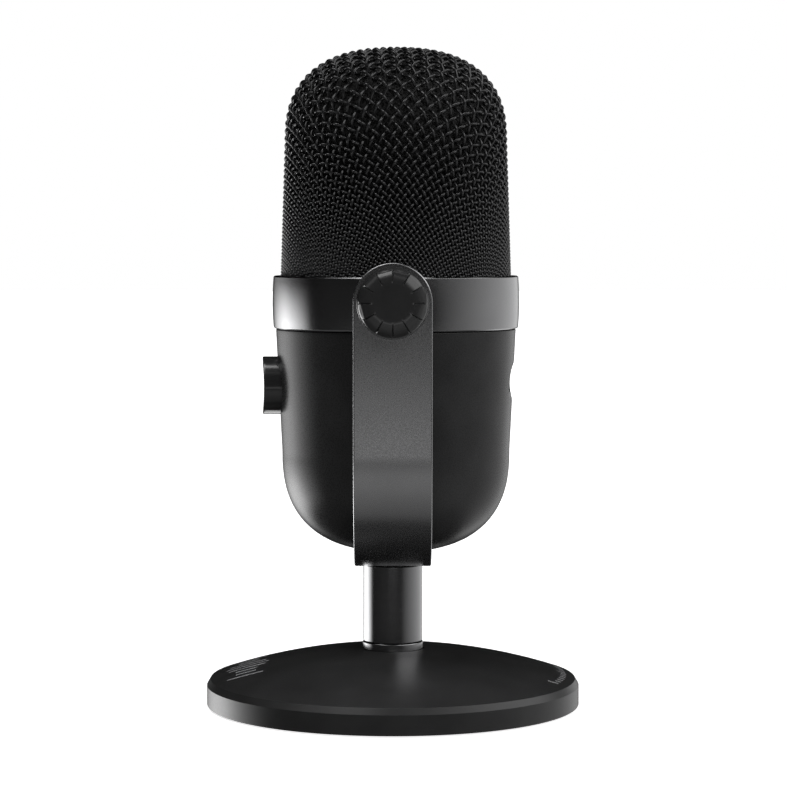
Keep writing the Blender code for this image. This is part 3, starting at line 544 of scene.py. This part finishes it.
def flat_strap():
    """The strap before bending: a rounded bar along X with two stud holes and a middle hole."""
    edge, steps = 0.40 * MM, 48
    half_width = (YOKE_HIGH.y - YOKE_LOW.y) / 2
    pivot_at = CORNER_X + BEND_LENGTH + PIVOT_HEIGHT - CORNER_Z
    curve = bpy.data.curves.new("flat_strap", "CURVE")
    curve.dimensions = "2D"
    curve.fill_mode = "BOTH"
    curve.extrude = YOKE_THICKNESS / 2 - edge
    curve.bevel_depth = edge
    curve.bevel_resolution = 3
    curve.offset = -edge
    round_spline(curve, stadium(pivot_at, half_width, steps))
    for hole_at in (pivot_at, -pivot_at, 0):
        round_spline(curve, circle(STRAP_HOLE, hole_at, steps))
    guide = bpy.data.objects.new("flat_strap", curve)
    bpy.context.scene.collection.objects.link(guide)
    bpy.context.view_layer.update()
    mesh = bpy.data.meshes.new_from_object(guide.evaluated_get(bpy.context.evaluated_depsgraph_get()))
    bpy.data.objects.remove(guide)
    return mesh


def bent(along, across, lift):
    """Where a point of the flat strap goes once the strap is bent into a U."""
    side = math.copysign(1, along)
    reach = abs(along)
    if reach <= CORNER_X:
        return along, across, CORNER_Z - BEND_RADIUS - lift
    if reach <= CORNER_X + BEND_LENGTH:
        angle = (reach - CORNER_X) / BEND_RADIUS
        radius = BEND_RADIUS + lift
        return side * (CORNER_X + radius * math.sin(angle)), across, CORNER_Z - radius * math.cos(angle)
    return side * (CORNER_X + BEND_RADIUS + lift), across, CORNER_Z + reach - CORNER_X - BEND_LENGTH


def make_yoke():
    """Strap cut across into short lengths, bent into a U, and countersunk for the swivel bolt."""
    cuts, same_place, on_plane = 48, 0.002 * MM, 0.001 * MM
    bm = bmesh.new()
    bm.from_mesh(flat_strap())
    bmesh.ops.remove_doubles(bm, verts=bm.verts, dist=same_place)
    for side in (1, -1):
        for step in range(cuts + 1):
            at = side * (CORNER_X + BEND_LENGTH * step / cuts)
            bmesh.ops.bisect_plane(bm, geom=bm.verts[:] + bm.edges[:] + bm.faces[:], dist=on_plane,
                                   plane_co=(at, 0, 0), plane_no=(1, 0, 0))
    for vert in bm.verts:
        vert.co = bent(*vert.co)
    bmesh.ops.recalc_face_normals(bm, faces=bm.faces)
    mesh = bpy.data.meshes.new("yoke_body")
    bm.to_mesh(mesh)
    bm.free()
    obj = piece_from("yoke_body", mesh, "yoke", "dark_metal", ["yoke_strap"], "satin_metal")
    bottom = CORNER_Z - BEND_RADIUS - YOKE_THICKNESS / 2
    above, below = bottom + 6 * MM, bottom - 3 * MM
    head = SWIVEL_HIGH.x + GAP
    sink = [(0, above), (head, above), (head, bottom + YOKE_THICKNESS),
            (STRAP_HOLE, bottom + YOKE_THICKNESS - head + STRAP_HOLE), (STRAP_HOLE, below), (0, below)]
    carve(obj, lathe("sink", sink, MIDDLE))
    soften(obj)


# ---- Head shells --------------------------------------------------------------------------
BAND_EDGE_RADIUS = 35.95 * MM
CASING_TOP = 111.35 * MM
CASING_TOP_RADIUS = 35.25 * MM
CASING_TURN_HEIGHT = 75.79 * MM
CASING_TURN_RADIUS = 33.48 * MM
CASING_POWER = 2.52
CASING_WALL = 2.1 * MM
PORT_Y = 36 * MM                # in the casing's rear wall; cutters for the sockets are centred here


def make_band():
    """Metal band with a swelled outside, a ledge for the grille and bores for the pivot inserts."""
    insert_bore, past_the_wall = 4.8 * MM, 45 * MM
    middle_radius = (BAND_HIGH.x - BAND_LOW.x) / 2
    rim, lip = 0.35 * MM, 0.45 * MM
    low, high = BAND_LOW.z, BAND_HIGH.z
    ledge, ledge_radius, bore = 124.5 * MM, 34.35 * MM, 33.0 * MM
    corners = [(ledge_radius, high, 0.15 * MM), (BAND_EDGE_RADIUS - rim, high, 0.08 * MM),
               (BAND_EDGE_RADIUS, high - rim, 0.12 * MM)]
    steps = 24
    for step in range(1, steps):
        share = step / steps
        swell = 1 - (2 * share - 1) ** 2
        radius = BAND_EDGE_RADIUS + (middle_radius - BAND_EDGE_RADIUS) * swell
        corners.append((radius, high - lip - (high - low - 2 * lip) * share, 0))
    corners += [(BAND_EDGE_RADIUS, low + rim, 0.12 * MM), (BAND_EDGE_RADIUS - rim, low, 0.08 * MM),
                (bore, low, 0.1 * MM), (bore, ledge, 0), (ledge_radius, ledge, 0)]
    mesh = lathe("band_body", filleted(corners), FINE, HEAD)
    obj = piece_from("band_body", mesh, "mic_head", "dark_metal", ["trim_band"])
    place = (0, 0, PIVOT_HEIGHT)
    carve(obj, rod("insert_holes", insert_bore, -past_the_wall, past_the_wall, place, TO_X))
    soften(obj, 50)


def superellipse(side, rise, power, steps):
    """Quarter curve from (side, 0) up to (0, rise), with points gathered where it turns."""
    points = []
    for step in range(steps + 1):
        angle = math.pi / 2 * step / steps
        radius = side * max(math.cos(angle), 0.0) ** (2 / power)
        points.append((radius if step < steps else 0.0, rise * math.sin(angle) ** (2 / power)))
    return points


def casing_radius(height):
    """Outer radius of the casing's straight taper."""
    share = (height - CASING_TURN_HEIGHT) / (CASING_TOP - CASING_TURN_HEIGHT)
    return CASING_TURN_RADIUS + (CASING_TOP_RADIUS - CASING_TURN_RADIUS) * share


def bowl(shrink, steps):
    """Rounded bottom of the casing, as outline corners from its side to its pole."""
    side = CASING_TURN_RADIUS - shrink
    depth = CASING_TURN_HEIGHT - CASING_LOW.z - shrink
    return [(radius, CASING_TURN_HEIGHT - drop, 0)
            for radius, drop in superellipse(side, depth, CASING_POWER, steps)]


def make_casing():
    """Moulded shell with a lip, a taper and a rounded bottom, and its four openings."""
    lip_outer, lip_inner, lip_top, inside_top = 32.7 * MM, 31.2 * MM, 112.0 * MM, 106.0 * MM
    heights = [CASING_TURN_HEIGHT + (CASING_TOP - CASING_TURN_HEIGHT) * share
               for share in (0.97, 0.75, 0.5, 0.25)]
    corners = [(lip_inner, lip_top, 0), (lip_outer, lip_top, 0.2 * MM), (lip_outer, CASING_TOP, 0),
               (CASING_TOP_RADIUS, CASING_TOP, 0.25 * MM)]
    corners += [(casing_radius(height), height, 0) for height in heights] + bowl(0, 48)
    corners += list(reversed([(lip_inner, inside_top, 0)] + bowl(CASING_WALL, 24)))
    mesh = lathe("casing_body", filleted(corners), FINE, HEAD)
    obj = piece_from("casing_body", mesh, "mic_head", "casing_plastic", ["lower_casing"])
    carve(obj, *casing_cutters())
    soften(obj, 35)


def casing_cutters():
    """Hole for the gain knob, hole and sink for the bottom screw, and bay for the sockets."""
    inside, outside = 20 * MM, 45 * MM
    dial_radius = DIAL_HIGH.x + 0.4 * MM
    gain_hole = rod("gain_hole", dial_radius, inside, outside, (0, 0, GAIN_HEIGHT), TO_FRONT)
    pole = (0, HEAD_Y, CASING_LOW.z)
    below, through, sunk = -1 * MM, 6 * MM, 1.0 * MM
    screw_hole = rod("screw_hole", 1.9 * MM, below, through, pole)
    screw_sink = rod("screw_sink", 3.5 * MM, below, sunk, pole)
    width, height = BEZEL_HIGH.x - BEZEL_LOW.x, BEZEL_HIGH.z - BEZEL_LOW.z
    slack, depth = 0.6 * MM, 20 * MM
    bay = pill("port_bay", width + slack, height + slack, depth, (0, PORT_Y, PORT_HEIGHT), TO_REAR)
    return gain_hole, screw_hole, screw_sink, bay


# ---- Woven wire grille --------------------------------------------------------------------
FOOT_RADIUS = (GRILLE_HIGH.x - GRILLE_LOW.x) / 2
DOME_TURN_HEIGHT = 166.0 * MM
DOME_TURN_RADIUS = 32.7 * MM
DOME_POWER = 2.5
WIRE_RADIUS = 0.350 * MM         # at the foot
WIRE_GROWTH = 0.035              # share of a cell's growth by which wires look fuller higher up
CRIMP_SHARE = 0.29               # wires pass this share of a cell over and under their middle
CRIMP_MOST = 0.72 * MM
CENTRE_CELLS = 10.7              # cells from the pole to where the dome turns into the side
CENTRE_LENGTH = 36.5 * MM        # length down the curve to the same place
CENTRE_POWER = 1.1               # above 1, cells grow away from the pole
SIDE_LENGTH = 42.6 * MM          # the number of cells from the pole grows e-fold over this length
WEAVE_TURN = math.radians(49.2)
WIRE_FOOT = 125.2 * MM
WIRE_SIDES = 6
WIRE_STEPS = 8                   # steps along a wire for each cell; half as many on the side


def dome_profile(shrink):
    """Outer curve of the grille from the pole down, as arrays of radius and height."""
    curve = superellipse(DOME_TURN_RADIUS - shrink, GRILLE_HIGH.z - DOME_TURN_HEIGHT - shrink,
                         DOME_POWER, 600)
    radius = [point[0] for point in reversed(curve)] + [FOOT_RADIUS - shrink]
    height = [DOME_TURN_HEIGHT + point[1] for point in reversed(curve)] + [GRILLE_LOW.z]
    return np.array(radius), np.array(height)


class DomeSurface:
    """Points and outward normals of the wires' middle surface, by cell coordinates."""

    def __init__(self):
        self.radius, self.height = dome_profile(0.0)
        steps = np.hypot(np.diff(self.radius), np.diff(self.height))
        self.length = np.concatenate([[0.0], np.cumsum(steps)])
        self.foot_pitch = float(self.pitch(np.array([self.cells_at(WIRE_FOOT)]))[0])

    def run(self, cells):
        """Length down the curve from the pole at a distance of so many cells."""
        top = CENTRE_LENGTH * (np.minimum(cells, CENTRE_CELLS) / CENTRE_CELLS) ** CENTRE_POWER
        side = SIDE_LENGTH * np.log(np.maximum(cells, CENTRE_CELLS) / CENTRE_CELLS)
        return top + side

    def cells_at(self, height):
        """How many cells from the pole the curve passes a height."""
        run = np.interp(-height, -self.height, self.length)
        return CENTRE_CELLS * math.exp((run - CENTRE_LENGTH) / SIDE_LENGTH)

    def pitch(self, cells):
        """Size of one cell, from its length down the curve and its width round it."""
        least, probe = 0.5, 0.1
        cells = np.maximum(cells, least)
        length = (self.run(cells + probe) - self.run(cells - probe)) / (2 * probe)
        width = np.interp(self.run(cells), self.length, self.radius) / cells
        return np.sqrt(length * width)

    def at(self, run):
        """Radius and height at lengths down the curve."""
        return np.interp(run, self.length, self.radius), np.interp(run, self.length, self.height)

    def outward(self, run):
        """Outward and upward parts of the curve's normal."""
        step, nothing = 0.05 * MM, 1e-12
        radius_before, height_before = self.at(run - step)
        radius_after, height_after = self.at(run + step)
        wider, lower = radius_after - radius_before, height_before - height_after
        size = np.maximum(np.hypot(wider, lower), nothing)
        return lower / size, np.maximum(wider, 0) / size

    def points(self, u, v, wave):
        """Wire middles for a wave of -1 under to 1 over, with normals and wire radii."""
        cells = np.hypot(u, v)
        pitch = self.pitch(cells)
        wire = WIRE_RADIUS + WIRE_GROWTH * (pitch - self.foot_pitch)
        crimp = np.minimum(CRIMP_SHARE * pitch, CRIMP_MOST)
        lift = -wire - crimp + crimp * wave
        angle = np.arctan2(v, u) + WEAVE_TURN
        run = self.run(cells)
        radius, height = self.at(run)
        out, up = self.outward(run)
        radius = radius + lift * out
        height = height + lift * up
        place = np.stack([radius * np.cos(angle), radius * np.sin(angle), height], 1)
        normal = np.stack([out * np.cos(angle), out * np.sin(angle), up], 1)
        return place, normal, wire


def tube(points, normals, radii, sides):
    """Vertices and quads of a tube along the points, and the number of points."""
    along = np.gradient(points, axis=0)
    along /= np.linalg.norm(along, axis=1)[:, None]
    across = np.cross(along, normals)
    across /= np.linalg.norm(across, axis=1)[:, None]
    out = np.cross(across, along)
    angles = np.arange(sides) * math.tau / sides
    ring = np.cos(angles)[None, :, None] * out[:, None] + np.sin(angles)[None, :, None] * across[:, None]
    verts = (points[:, None] + radii[:, None, None] * ring).reshape(-1, 3)
    count = len(points)
    base = (np.arange(count - 1) * sides)[:, None]
    side = np.arange(sides)[None, :]
    after = (side + 1) % sides
    quads = np.stack([base + side, base + after, base + sides + after, base + sides + side], 2)
    return verts, quads.reshape(-1, 4), count


def wire_marks(line, half):
    """Places along a wire, in cells from its middle, closer together on top of the dome."""
    past_the_turn = 2
    marks = np.arange(-int(half * WIRE_STEPS), int(half * WIRE_STEPS) + 1)
    near_top = np.hypot(line, marks / WIRE_STEPS) < CENTRE_CELLS + past_the_turn
    return marks[near_top | (marks % 2 == 0)] / WIRE_STEPS


def make_weave():
    """Plain over-and-under weave: two families of wires crossing on the dome."""
    surface = DomeSurface()
    reach = surface.cells_at(WIRE_FOOT)
    verts, quads, caps = [], [], []
    total = 0
    for family in (0, 1):
        for line in range(-int(reach), int(reach) + 1):
            half = math.sqrt(max(reach ** 2 - line ** 2, 0))
            if half < 1:
                continue
            marks = wire_marks(line, half)
            fixed = np.full_like(marks, line)
            wave = np.cos(math.pi * marks) * (-1) ** line * (1 if family == 0 else -1)
            pair = (fixed, marks) if family == 0 else (marks, fixed)
            points, normals, radii = surface.points(*pair, wave)
            wire_verts, wire_quads, count = tube(points + np.array(HEAD), normals, radii, WIRE_SIDES)
            verts.append(wire_verts)
            quads.append(wire_quads + total)
            last_ring = total + (count - 1) * WIRE_SIDES
            caps.append(tuple(total + side for side in reversed(range(WIRE_SIDES))))
            caps.append(tuple(last_ring + side for side in range(WIRE_SIDES)))
            total += len(wire_verts)
    faces = np.concatenate(quads).tolist() + caps
    mesh = finished_mesh("wire_mesh", np.concatenate(verts).tolist(), faces)
    obj = piece_from("wire_mesh", mesh, "mic_head", "grille_wire", ["grille"])
    obj.data.shade_smooth()
    obj.data.set_sharp_from_angle(angle=math.radians(70))


def make_foam():
    """Foam dome behind the wires, slightly uneven as cut foam is."""
    wall, unevenness, waves = 2.5 * MM, 0.08 * MM, 400
    corners = []
    for shrink, order in ((FOAM_GAP, 1), (FOAM_GAP + wall, -1)):
        curve = superellipse(DOME_TURN_RADIUS - shrink, GRILLE_HIGH.z - DOME_TURN_HEIGHT - shrink,
                             DOME_POWER, 40)
        side = [(FOOT_RADIUS - shrink, FOAM_LOW.z)]
        side += [(radius, DOME_TURN_HEIGHT + height) for radius, height in curve]
        corners += side[::order]
    mesh = lathe("foam_dome", corners, MIDDLE, HEAD)
    for vert in mesh.vertices:
        x, y, z = vert.co * waves
        vert.co += vert.normal * unevenness * math.sin(x) * math.sin(1.3 * y) * math.sin(1.1 * z)
    obj = piece_from("foam_dome", mesh, "mic_head", "foam", ["foam_liner"])
    obj.data.shade_smooth()


# ---- Controls -----------------------------------------------------------------------------
def make_gain_dial():
    """Gain knob with a rounded edge and a face hollowed to the fingertip."""
    radius = DIAL_HIGH.x
    face, back = -DIAL_LOW.y, -DIAL_HIGH.y
    bore, seat = 3.3 * MM, 36.1 * MM
    scoop_radius, scoop_depth, front_part = 48.0 * MM, 0.75 * MM, 0.9 * MM
    face_rings = [(radius * share, face, 0) for share in (0.15, 0.3, 0.45, 0.6, 0.72, 0.84, 0.92)]
    corners = [(0, face, 0)] + face_rings + [
        (radius, face, 0.45 * MM), (radius, face - 1.2 * MM, 0), (radius, back, 0.3 * MM),
        (bore, back, 0), (bore, seat, 0), (0, seat, 0)]
    mesh = lathe("gain_dial", filleted(corners), FINE)
    for vert in mesh.vertices:
        if vert.co.z > face - front_part:
            vert.co.z -= max(0, scoop_depth - vert.co.y ** 2 / (2 * scoop_radius))
    mesh.transform(Matrix.Translation((0, 0, GAIN_HEIGHT)) @ TO_FRONT)
    obj = piece_from("gain_dial", mesh, "gain_control", "knob_plastic", ["gain_knob"])
    soften(obj, 50)


LOBES = 12                      # facets round a clamp knob
LOBE_STEPS = 16                 # turned steps in each facet
GROOVE_DEPTH = 0.25 * MM


def make_grip(side, label):
    """Clamp knob: flat middle, twelve facets parted by fine grooves, and a round rim."""
    radius = (GRIP_HIGH.z - GRIP_LOW.z) / 2
    inner = GRIP_LOW.x
    depth = GRIP_HIGH.x - inner
    bore, bore_depth, rim, chamfer = 2.8 * MM, 5.6 * MM, 0.9 * MM, 0.4 * MM
    middle, flat, reach, drop = 2.5 * MM, 4.6 * MM, 9.75 * MM, 3.2 * MM
    shoulder = superellipse(reach - flat, drop, 2.3, 24)
    corners = [(0, depth, 0), (middle, depth, 0)]
    corners += [(flat + across, depth - drop + rise, 0) for across, rise in reversed(shoulder)]
    corners += [(radius, depth - drop - rim, 0.25 * MM), (radius, chamfer, 0),
                (radius - chamfer, 0, 0.2 * MM), (bore, 0, 0), (bore, bore_depth, 0), (0, bore_depth, 0)]
    mesh = lathe("clamp_grip_" + label, filleted(corners), LOBES * LOBE_STEPS)
    for vert in mesh.vertices:
        facet(vert, depth - drop)
    turn = TO_X if side > 0 else TO_MINUS_X
    mesh.transform(Matrix.Translation((side * inner, 0, PIVOT_HEIGHT)) @ turn)
    obj = piece_from("clamp_grip_" + label, mesh, label + "_clamp", "knob_plastic",
                     ["clamp_knob_" + label])
    soften(obj, 35)


def facet(vert, foot):
    """Flatten the shoulder between the grooves and press the grooves in.

    The change grows from radius start to full, and fades out from last to end.
    """
    radius = math.hypot(vert.co.x, vert.co.y)
    start, full, last, end = 5.4 * MM, 6.6 * MM, 9.3 * MM, 9.74 * MM
    if radius <= start or radius >= end or vert.co.z < foot:
        return
    weight = min((radius - start) / (full - start), 1.0, (end - radius) / (end - last))
    sector = math.tau / LOBES
    angle = math.atan2(vert.co.y, vert.co.x) % sector
    from_groove = min(angle, sector - angle)
    scale = 1 - weight * (1 - math.cos(sector / 2) / math.cos(sector / 2 - from_groove))
    if from_groove < sector / LOBE_STEPS / 2:
        vert.co.z -= weight * GROOVE_DEPTH
        scale -= weight * GROOVE_DEPTH / radius
    vert.co.x *= scale
    vert.co.y *= scale


def make_bezel():
    """Socket plate let into the casing, hollowed across its height."""
    width, height = BEZEL_HIGH.x - BEZEL_LOW.x, BEZEL_HIGH.z - BEZEL_LOW.z
    groove, back, over = 0.95 * MM, 31.2 * MM, 1.0 * MM
    steps = 32
    half = height / 2 + over
    outline = [(back, PORT_HEIGHT + half)]
    for step in range(steps + 1):
        offset = half - 2 * half * step / steps
        dip = groove * max(0.0, 1 - (offset / (height / 2)) ** 2)
        outline.append((casing_radius(PORT_HEIGHT + offset) - dip, PORT_HEIGHT + offset))
    outline.append((back, PORT_HEIGHT - half))
    mesh = lathe("bezel_body", outline, FINE, HEAD)
    obj = piece_from("bezel_body", mesh, "mic_head", "knob_plastic", ["port_bezel"])
    edge = pill("bezel_edge", width, height, 30 * MM, (0, PORT_Y, PORT_HEIGHT), TO_REAR)
    carve(obj, edge, operation="INTERSECT")
    carve(obj, *socket_cutters())
    soften(obj, 35)


def socket_cutters():
    """Holes in the bezel for the USB socket and the headphone jack."""
    slack, depth, inside, outside = 0.6 * MM, 30 * MM, 20 * MM, 45 * MM
    low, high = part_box("usb_socket")
    place = ((low.x + high.x) / 2, PORT_Y, PORT_HEIGHT)
    usb_hole = pill("usb_hole", high.x - low.x + slack, high.z - low.z + slack, depth, place, TO_REAR)
    low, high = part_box("headphone_jack")
    place = ((low.x + high.x) / 2, 0, PORT_HEIGHT)
    return usb_hole, rod("jack_hole", (high.x - low.x) / 2 + GAP, inside, outside, place, TO_REAR)


def make_casing_screw():
    """Cross-head screw at the bottom of the casing."""
    low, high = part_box("casing_screw")
    head, shank, rise = high.x, 1.5 * MM, 0.6 * MM
    corners = [(0, high.z, 0), (shank, high.z, 0.2 * MM), (shank, low.z + rise, 0),
               (head, low.z + rise, 0.1 * MM), (head, low.z, 0.25 * MM), (0, low.z, 0)]
    mesh = lathe("casing_screw_body", filleted(corners), MIDDLE, HEAD)
    obj = piece_from("casing_screw_body", mesh, "mic_head", "fastener_steel", ["casing_screw"])
    arm, slot_width, depth = 3.2 * MM, 0.8 * MM, 0.9 * MM
    for length, across in ((arm, slot_width), (slot_width, arm)):
        x, y = length / 2, across / 2
        ring = [(-x, -y), (x, -y), (x, y), (-x, y)]
        carve(obj, prism("slot", ring, depth, Matrix.Translation((0, HEAD_Y, low.z))))
    soften(obj)


# ---- Carried-over CAD nodes ---------------------------------------------------------------
def dress_cad_nodes():
    """Give every CAD node its slot's look, and every shown one small rounded edges too."""
    already_round = ("capsule_lead",)
    for name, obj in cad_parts.items():
        slot = obj.material_slots[0].material.name.split(".")[0]
        for holder in obj.material_slots:
            holder.material = LOOKS[slot]
        if obj.hide_render:
            continue
        if name in already_round:
            continue
        edge = obj.modifiers.new("rounded_edges", "BEVEL")
        edge.width = 0.12 * MM
        edge.segments = 2
        edge.limit_method = "ANGLE"
        edge.angle_limit = math.radians(50)


# ---- Stage, light and camera --------------------------------------------------------------
# Soft panels of the studio. Each has four azimuths from +X towards +Y and four heights, in degrees,
# between which it goes from dark to full, stays full and goes dark again, and then its brightness.
PANELS = {
    "left_strip": ((-165, -128, -125, -87), (-34, -24, -14, 3), 7.0),
    "right_wall": ((34, 148, 157, 168), (-50, -35, 8, 14), 0.95),
    "right_key": ((10, 32, 105, 135), (14, 22, 42, 54), 2.2),
    "top_left": ((-110, -80, -30, -8), (48, 58, 84, 89), 3.6),
    "top_middle": ((-150, -120, 120, 150), (74, 79, 89, 90), 3.0),
    "front_haze": ((-100, -70, 50, 90), (-20, -10, 6, 14), 0.03),
    "floor_glow": ((-90, -40, 40, 90), (-89, -25, -20, -11), 0.32),
    "under": ((-179, -178, 178, 179), (-90, -89, -35, -16), 0.12),
    "rear_left": ((-179.9, -179, -174, -168), (-76, -64, -36, -28), 2.8),
    "rear_right": ((168, 174, 179, 179.9), (-76, -64, -36, -28), 2.8),
}


# Each soft light: size, watts, place and the point it is turned toward.
LIGHTS = {
    "overhead": ((1.5, 0.7), 1.6, (0.62, -0.74, 1.25), (0, 0, 0.1)),
    "front_fill": ((0.17, 0.034), 0.014, (0.30, 0, 0.056), (0.04, 0, 0.085)),
}
FLOOR_HALF = 6.0
FLOOR_GLOW = 0.85
LENS, SENSOR = 123.1, 36.0      # millimetres
CAMERA_PLACE = (0.7918, 0.0002, 0.1386)
CAMERA_DOWN = 3.348             # degrees below level


def window(tree, source, places, brightness):
    """Ramp that rises from 0 to a brightness and falls again, at four places."""
    ramp = tree.nodes.new("ShaderNodeValToRGB")
    elements = ramp.color_ramp.elements
    elements[0].position, elements[1].position = places[0], places[3]
    elements[0].color = elements[1].color = (0, 0, 0, 1)
    for place in places[1:3]:
        elements.new(place).color = (brightness, brightness, brightness, 1)
    tree.links.new(source, ramp.inputs["Fac"])
    return ramp.outputs["Color"]


def combined(tree, operation, first, second):
    """Output of a math node over two sockets."""
    node = tree.nodes.new("ShaderNodeMath")
    node.operation = operation
    tree.links.new(first, node.inputs[0])
    tree.links.new(second, node.inputs[1])
    return node.outputs["Value"]


def panel_light(tree):
    """Sum of the panels' brightness in each direction."""
    direction = tree.nodes.new("ShaderNodeTexCoord").outputs["Generated"]
    turn = tree.nodes.new("ShaderNodeTexGradient")
    turn.gradient_type = "RADIAL"
    tree.links.new(direction, turn.inputs["Vector"])
    split = tree.nodes.new("ShaderNodeSeparateXYZ")
    tree.links.new(direction, split.inputs["Vector"])
    rise = tree.nodes.new("ShaderNodeMapRange")
    rise.inputs["From Min"].default_value = -1.0
    tree.links.new(split.outputs["Z"], rise.inputs["Value"])
    total = None
    for azimuths, heights, brightness in PANELS.values():
        bearings = [degrees / 360 + 0.5 for degrees in azimuths]
        levels = [math.sin(math.radians(degrees)) / 2 + 0.5 for degrees in heights]
        across = window(tree, turn.outputs["Fac"], bearings, brightness)
        upward = window(tree, rise.outputs["Result"], levels, 1.0)
        panel = combined(tree, "MULTIPLY", across, upward)
        total = combined(tree, "ADD", total, panel) if total else panel
    return total


def make_world():
    """White behind the object, and soft panels round it that light it."""
    world = bpy.data.worlds.new("studio")
    world.use_nodes = True
    bpy.context.scene.world = world
    tree = world.node_tree
    tree.nodes.clear()
    backdrop = tree.nodes.new("ShaderNodeBackground")
    backdrop.inputs["Color"].default_value = (1, 1, 1, 1)
    studio = tree.nodes.new("ShaderNodeBackground")
    tree.links.new(panel_light(tree), studio.inputs["Color"])
    path = tree.nodes.new("ShaderNodeLightPath")
    mix = tree.nodes.new("ShaderNodeMixShader")
    tree.links.new(path.outputs["Is Camera Ray"], mix.inputs["Fac"])
    tree.links.new(studio.outputs["Background"], mix.inputs[1])
    tree.links.new(backdrop.outputs["Background"], mix.inputs[2])
    output = tree.nodes.new("ShaderNodeOutputWorld")
    tree.links.new(mix.outputs["Shader"], output.inputs["Surface"])


def make_stage():
    """Pale floor that the object neither mirrors nor is lit by, and the soft lights."""
    far = FLOOR_HALF
    corners = [(-far, -far, 0), (far, -far, 0), (far, far, 0), (-far, far, 0)]
    mesh = finished_mesh("floor", corners, [(0, 1, 2, 3)])
    floor = bpy.data.objects.new("floor", mesh)
    bpy.context.scene.collection.objects.link(floor)
    look = grained("floor_look", (0.93, 0.93, 0.93), 0.9, 60.0, 0.05 * MM, change=0.005)
    shader = look.node_tree.nodes["Principled BSDF"]
    shader.inputs["Emission Color"].default_value = (1, 1, 1, 1)
    shader.inputs["Emission Strength"].default_value = FLOOR_GLOW
    mesh.materials.append(look)
    floor.visible_glossy = False
    floor.visible_diffuse = False
    for name, facts in LIGHTS.items():
        soft_light(name, *facts)


def soft_light(name, size, power, place, aim):
    """Rectangular light that the camera does not see, turned toward a point."""
    light = bpy.data.lights.new(name, "AREA")
    light.shape = "RECTANGLE"
    light.size, light.size_y = size
    light.energy = power
    lamp = bpy.data.objects.new(name, light)
    lamp.location = place
    lamp.rotation_euler = (Vector(aim) - Vector(place)).to_track_quat("-Z", "Y").to_euler()
    lamp.visible_camera = False
    bpy.context.scene.collection.objects.link(lamp)


def make_camera():
    """Camera on the +X side, looking along -X and slightly down."""
    data = bpy.data.cameras.new("camera")
    data.lens = LENS
    data.sensor_width = SENSOR
    camera = bpy.data.objects.new("camera", data)
    camera.location = CAMERA_PLACE
    camera.rotation_euler = (math.radians(90 - CAMERA_DOWN), 0, math.radians(90))
    bpy.context.scene.collection.objects.link(camera)
    bpy.context.scene.camera = camera
    bpy.context.scene.view_settings.view_transform = "Standard"


make_camera()
make_world()
make_stage()
make_base()
make_foot()
make_stem()
make_swivel_screw()
make_marks()
make_yoke()
make_band()
make_casing()
make_weave()
make_foam()
make_gain_dial()
for clamp_side, clamp_label in ((1, "right"), (-1, "left")):
    make_grip(clamp_side, clamp_label)
make_bezel()
make_casing_screw()
dress_cad_nodes()
